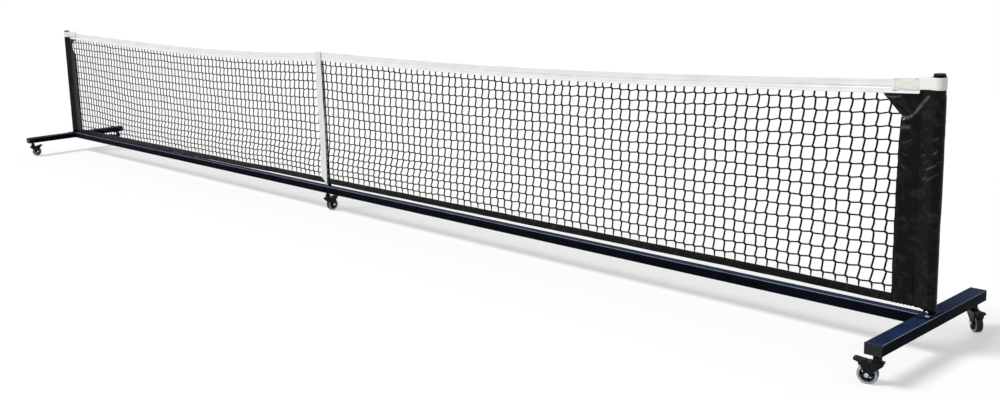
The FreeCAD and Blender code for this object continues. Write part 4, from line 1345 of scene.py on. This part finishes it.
def make_end_strap(name, side, phase, reach, lie):
    """Webbing over the headband and round the post, with a sewn box and cross at each end.

    The sewing draws the webbing in by DRAWN_IN along its lines.
    """
    path = strap_path(reach)
    across = np.linspace(0.0, 1.0, 31)[None]
    u = lengths_along(path)[:, None]
    x = path[:, :1] + 0 * across
    z = STRAP_LOW - STRAP_SPREAD + (STRAP_HIGH - STRAP_LOW + 2 * STRAP_SPREAD) * across + 0 * u
    lines = sewn_lines(reach)
    runs = [run for line in lines for run in zip(line, line[1:])]
    sewn = np.max([crease(x, z, *run, DRAWN_IN, DRAWN_WIDTH) for run in runs], axis=0)
    rolled = 0.35 * np.abs(2 * across - 1) ** 6
    slack = ripple(u, z, [(0.3, 83, 260, phase), (0.15, 31, 70, 1.0)]) - rolled - sewn
    z = z + 0.35 * np.sin(2 * np.pi * u / 97.0 + phase) + strap_rise(x, lie)
    out = path[:, None] + beside(path)[:, None] * slack[..., None]
    points = to_post(np.concatenate([out, z[..., None]], axis=-1), side)
    cut = np.stack(np.broadcast_arrays(u, z), axis=-1)
    piece = mesh_piece(name, points, grid_faces(*z.shape), "frame", CREAM_WEBBING, cut)
    thicken(piece, STRAP_WALL)
    sewing = []
    for sign in (-1.0, 1.0):
        for line in lines:
            x, up = evenly(line)
            face = sign * (STRAP_FACE - 0.3) + 0 * x
            run = np.stack([x, face, up + strap_rise(x, lie)], axis=1)
            sewing.append((to_post(run, side), (0.0, sign * side, 0.0)))
    stitches(f"{name}_stitching", sewing, STRAP_SEWING, STRAP_PITCH)
    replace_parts(piece, "end_straps")


make_end_strap("right_strap_webbing", 1.0, 0.4, 148.0, (1.0, 0.07))
make_end_strap("left_strap_webbing", -1.0, 1.9, 163.0, (4.0, -0.03))


# Centre strap and its hook

CENTRE_TOP = BAND_TOP_CENTRE + 1.0
CENTRE_BOTTOM = RAIL_TOP + 2.2
CENTRE_HALF = 25.4
CENTRE_TIP = 5.0
CENTRE_FACE = 5.4
CENTRE_WALL = 1.2
CENTRE_LEFT = 20.0
ARCH_HIGH = 6.0
HEM_GAP = 4.0
NEAR_HOOK = (0.0, 1.2, 3.0, 5.5, 9.0)
PLEAT = 1.7

# Heights above the strap's lowest point between which it widens, its faces part, its pleats
# rise, it grows slack, and it wanders to the right
TAPER = (6.0, 52.0)
FACES_PART = (-2.0, 24.0)
PLEATS_RISE = (4.0, 16.0)
GROWS_SLACK = (0.0, 100.0)
WANDERS = (0.0, 560.0)

# The sewn box below the headband's lower edge
BOX_LOW = 34.0
BOX_HIGH = 6.0


def centre_path():
    """The strap's closed loop as (y, z): up the front, over the headband and down the back."""
    tall = CENTRE_TOP - CENTRE_BOTTOM
    rise = np.concatenate([NEAR_HOOK, np.linspace(14.0, tall - ARCH_HIGH, 150)])
    hem = tall - BAND_HIGH - HEM_GAP
    face = CENTRE_FACE * (0.35 + 0.65 * ramp(rise, *FACES_PART)) - 0.3 * ramp(rise, hem, hem - 20)
    side = np.stack([-face, CENTRE_BOTTOM + rise], axis=1)
    turn = np.linspace(0.0, np.pi / 2, 8)[1:]
    over = CENTRE_TOP - ARCH_HIGH + ARCH_HIGH * np.sin(turn)
    arch = np.stack([-CENTRE_FACE * np.cos(turn), over], axis=1)
    start = [(0.0, CENTRE_BOTTOM - 0.3), (-1.0, CENTRE_BOTTOM - 0.25)]
    front = np.concatenate([start, side, arch])
    return np.concatenate([front, (front[::-1] * (-1, 1))[1:-1]])


def make_centre_strap():
    """A closed loop of webbing over the headband, drawn together under the rail's hook.

    Its half width follows the height and the cloth gathers into pleats where it narrows. It
    hangs to the left of the hook, so its right edge runs down nearly straight.
    """
    path = centre_path()
    u = lengths_along(path)[:, None]
    height = path[:, 1:] - CENTRE_BOTTOM
    narrow = ramp(height, *TAPER)
    across = np.linspace(-1.0, 1.0, 23)[None]
    x = (CENTRE_TIP + (CENTRE_HALF - CENTRE_TIP) * narrow) * across
    pleats = PLEAT * (1 - narrow) * np.cos(np.pi * 3 * across) * ramp(height, *PLEATS_RISE)
    slack = ripple(height, x, [(0.5, 231, 90, 0.3), (0.25, 87, -60, 1.2)])
    bulge = np.clip(pleats + slack * ramp(height, *GROWS_SLACK), -1.6, 2.0)
    out = path[:, None] - beside(path)[:, None] * bulge[..., None]
    left = -CENTRE_LEFT * narrow + 5.0 * np.sin(np.pi * ramp(height, *WANDERS))
    points = np.concatenate([(x + left)[..., None], out], axis=-1)
    cut = np.stack(np.broadcast_arrays(u, across * CENTRE_HALF), axis=-1)
    faces = grid_faces(*x.shape, wrap_rows=True)[:, ::-1]
    piece = mesh_piece("centre_strap_webbing", points, faces, "frame", WHITE_WEBBING, cut)
    thicken(piece, CENTRE_WALL)
    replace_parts(piece, "centre_strap")
    low, high = (BAND_TOP_CENTRE - BAND_HIGH - drop for drop in (BOX_LOW, BOX_HIGH))
    wide = CENTRE_HALF - BOX_FROM_EDGE
    box_x, box_z = evenly([(-wide, low), (wide, low), (wide, high), (-wide, high), (-wide, low)])
    sewing = []
    for sign in (-1.0, 1.0):
        face = sign * (CENTRE_FACE + 0.3) + 0 * box_x
        sewing.append((np.stack([box_x - CENTRE_LEFT, face, box_z], axis=1), (0.0, sign, 0.0)))
    stitches("centre_strap_stitching", sewing, STRAP_SEWING, STRAP_PITCH)


make_centre_strap()

HOOK_HALF = 8.0
HOOK_RISE = 5.1
HOOK_WIRE = 1.5
HOOK_BEND = 2.6


def make_hook():
    """Bent wire staple: up from the rail, round a corner of radius HOOK_BEND, and down."""
    corner = np.linspace(0.0, np.pi / 2, 9)
    x = HOOK_HALF - HOOK_BEND + HOOK_BEND * np.cos(corner)
    z = HOOK_RISE - HOOK_BEND + HOOK_BEND * np.sin(corner)
    half = np.concatenate([[(HOOK_HALF, 0.1), (HOOK_HALF, 1.0)], np.stack([x, z], axis=1)])
    line = np.concatenate([half, (half[::-1] * (-1, 1))])
    path = np.stack([line[:, 0], 0 * line[:, 0], RAIL_TOP + line[:, 1]], axis=1)[None]
    points, faces = many_tubes(path, HOOK_WIRE, 14, REARWARDS)
    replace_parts(mesh_piece("strap_hook_wire", points, faces, "frame", FRAME_PAINT), "strap_hook")


make_hook()


# Casters

TREAD_PROFILE = [
    (22.7, -11.9), (29.4, -11.9), (31.75, -9.0), (31.75, 9.0), (29.4, 11.9), (22.7, 11.9),
]
TREAD_EASE = 2.2
CUP_PROFILE = [(12.8, 74.0), (16.2, 74.0), (17.0, 75.4), (16.0, 77.4), (12.8, 78.4)]
CUP_EASE = 0.8


def make_caster_details(caster):
    """Tread with rounded shoulders, bearing cup round the crown, and the hub's eased edges."""
    roll = JOINTS[f"{caster}_wheel_roll"]
    place = (np.array(roll["pos_m"]) / MM, roll["axis"], np.cross(roll["axis"], UPWARDS))
    profile = rounded(TREAD_PROFILE, TREAD_EASE, 6)
    tread = lathe_piece(f"{caster}_tyre", profile, 96, place, f"{caster}_wheel", TREAD)
    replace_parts(tread, f"{caster}_tread")
    x, y, _ = np.array(JOINTS[f"{caster}_swivel_turn"]["pos_m"]) / MM
    profile = rounded(CUP_PROFILE, CUP_EASE)
    place = ((x, y, 0.0), UPWARDS, ACROSS)
    lathe_piece(f"{caster}_bearing_cup", profile, 64, place, f"{caster}_swivel", FORK_PAINT)
    eased_copy(f"{caster}_hub", f"{caster}_wheel", MOULDED, width=0.5)


for caster in CASTERS:
    make_caster_details(caster)

WELD_RADIUS = 10.6
WELD_UP = 101.3
BEAD_RADIUS = 1.5
BEAD_RIPPLE = 0.35
BEAD_COUNT = 22


def make_welds():
    """Beads where the caster stems are welded under the tubes: rings beaded by ripples."""
    turn = np.linspace(0.0, 2 * np.pi, 73)
    ring = np.stack([WELD_RADIUS * np.cos(turn), WELD_RADIUS * np.sin(turn), 0 * turn], axis=1)
    stems = [JOINTS[f"{caster}_swivel_turn"]["pos_m"][:2] for caster in CASTERS]
    middles = np.array([(x / MM, y / MM, WELD_UP) for x, y in stems])
    radius = BEAD_RADIUS + BEAD_RIPPLE * np.abs(np.sin(turn * BEAD_COUNT / 2))
    points, faces = many_tubes(middles[:, None] + ring, radius, 8, UPWARDS)
    mesh_piece("stem_welds", points, faces, "frame", FRAME_PAINT)


make_welds()


# Floor, light and the end

KEY_FROM = (-0.45, -0.55, 1.0)
KEY_STRENGTH = 3.0
KEY_SPREAD = 22.0
SKY_STRENGTH = 0.45
FLOOR_HALF = 150000.0
FLOOR_PAINT = 0.45
FLOOR_GLOW = 0.46


def seen_rays(tree):
    """1 for what the camera sees straight, in a gloss or through something clear, else 0."""
    rays = add(tree, "LightPath").node.outputs
    share = rays["Is Camera Ray"]
    for ray in ("Is Glossy Ray", "Is Transmission Ray"):
        share = add(tree, "Math", share, rays[ray], operation="MAXIMUM")
    return share


def make_floor():
    """A wide pale floor, lit to white for the camera with the shadow left on it."""
    mesh = bpy.data.meshes.new("floor")
    sides = ((-1, -1), (1, -1), (1, 1), (-1, 1))
    points = [(FLOOR_HALF * MM * x, FLOOR_HALF * MM * y, 0.0) for x, y in sides]
    mesh.from_pydata(points, [], [(0, 1, 2, 3)])
    floor = bpy.data.objects.new("floor", mesh)
    into_scene(floor)
    material = bpy.data.materials.new("pale_studio_floor")
    material.use_nodes = True
    tree = material.node_tree
    tree.nodes.clear()
    paint = add(tree, "BsdfDiffuse", (FLOOR_PAINT, FLOOR_PAINT, FLOOR_PAINT, 1.0))
    strength = add(tree, "MapRange", seen_rays(tree), 0.0, 1.0, 0.0, FLOOR_GLOW)
    glow = add(tree, "Emission", "#ffffff", strength)
    add(tree, "OutputMaterial", add(tree, "AddShader", paint, glow))
    mesh.materials.append(material)


def make_light():
    """One broad soft lamp far off to the front left, above, and an even pale sky."""
    world = bpy.data.worlds.new("studio")
    bpy.context.scene.world = world
    world.use_nodes = True
    tree = world.node_tree
    sky = tree.nodes["Background"]
    fill(tree, sky.inputs["Color"], "#ffffff")
    strength = add(tree, "MapRange", seen_rays(tree), 0.0, 1.0, SKY_STRENGTH, 1.0)
    fill(tree, sky.inputs["Strength"], strength)
    lamp = bpy.data.lights.new("key", "SUN")
    lamp.energy = KEY_STRENGTH
    lamp.angle = math.radians(KEY_SPREAD)
    back = np.array(KEY_FROM) / np.linalg.norm(KEY_FROM)
    right = np.cross(UPWARDS, back)
    right /= np.linalg.norm(right)
    set_up(bpy.data.objects.new("key", lamp), right, np.cross(back, right), back)


make_floor()
make_light()
bpy.context.scene.view_settings.view_transform = "Standard"
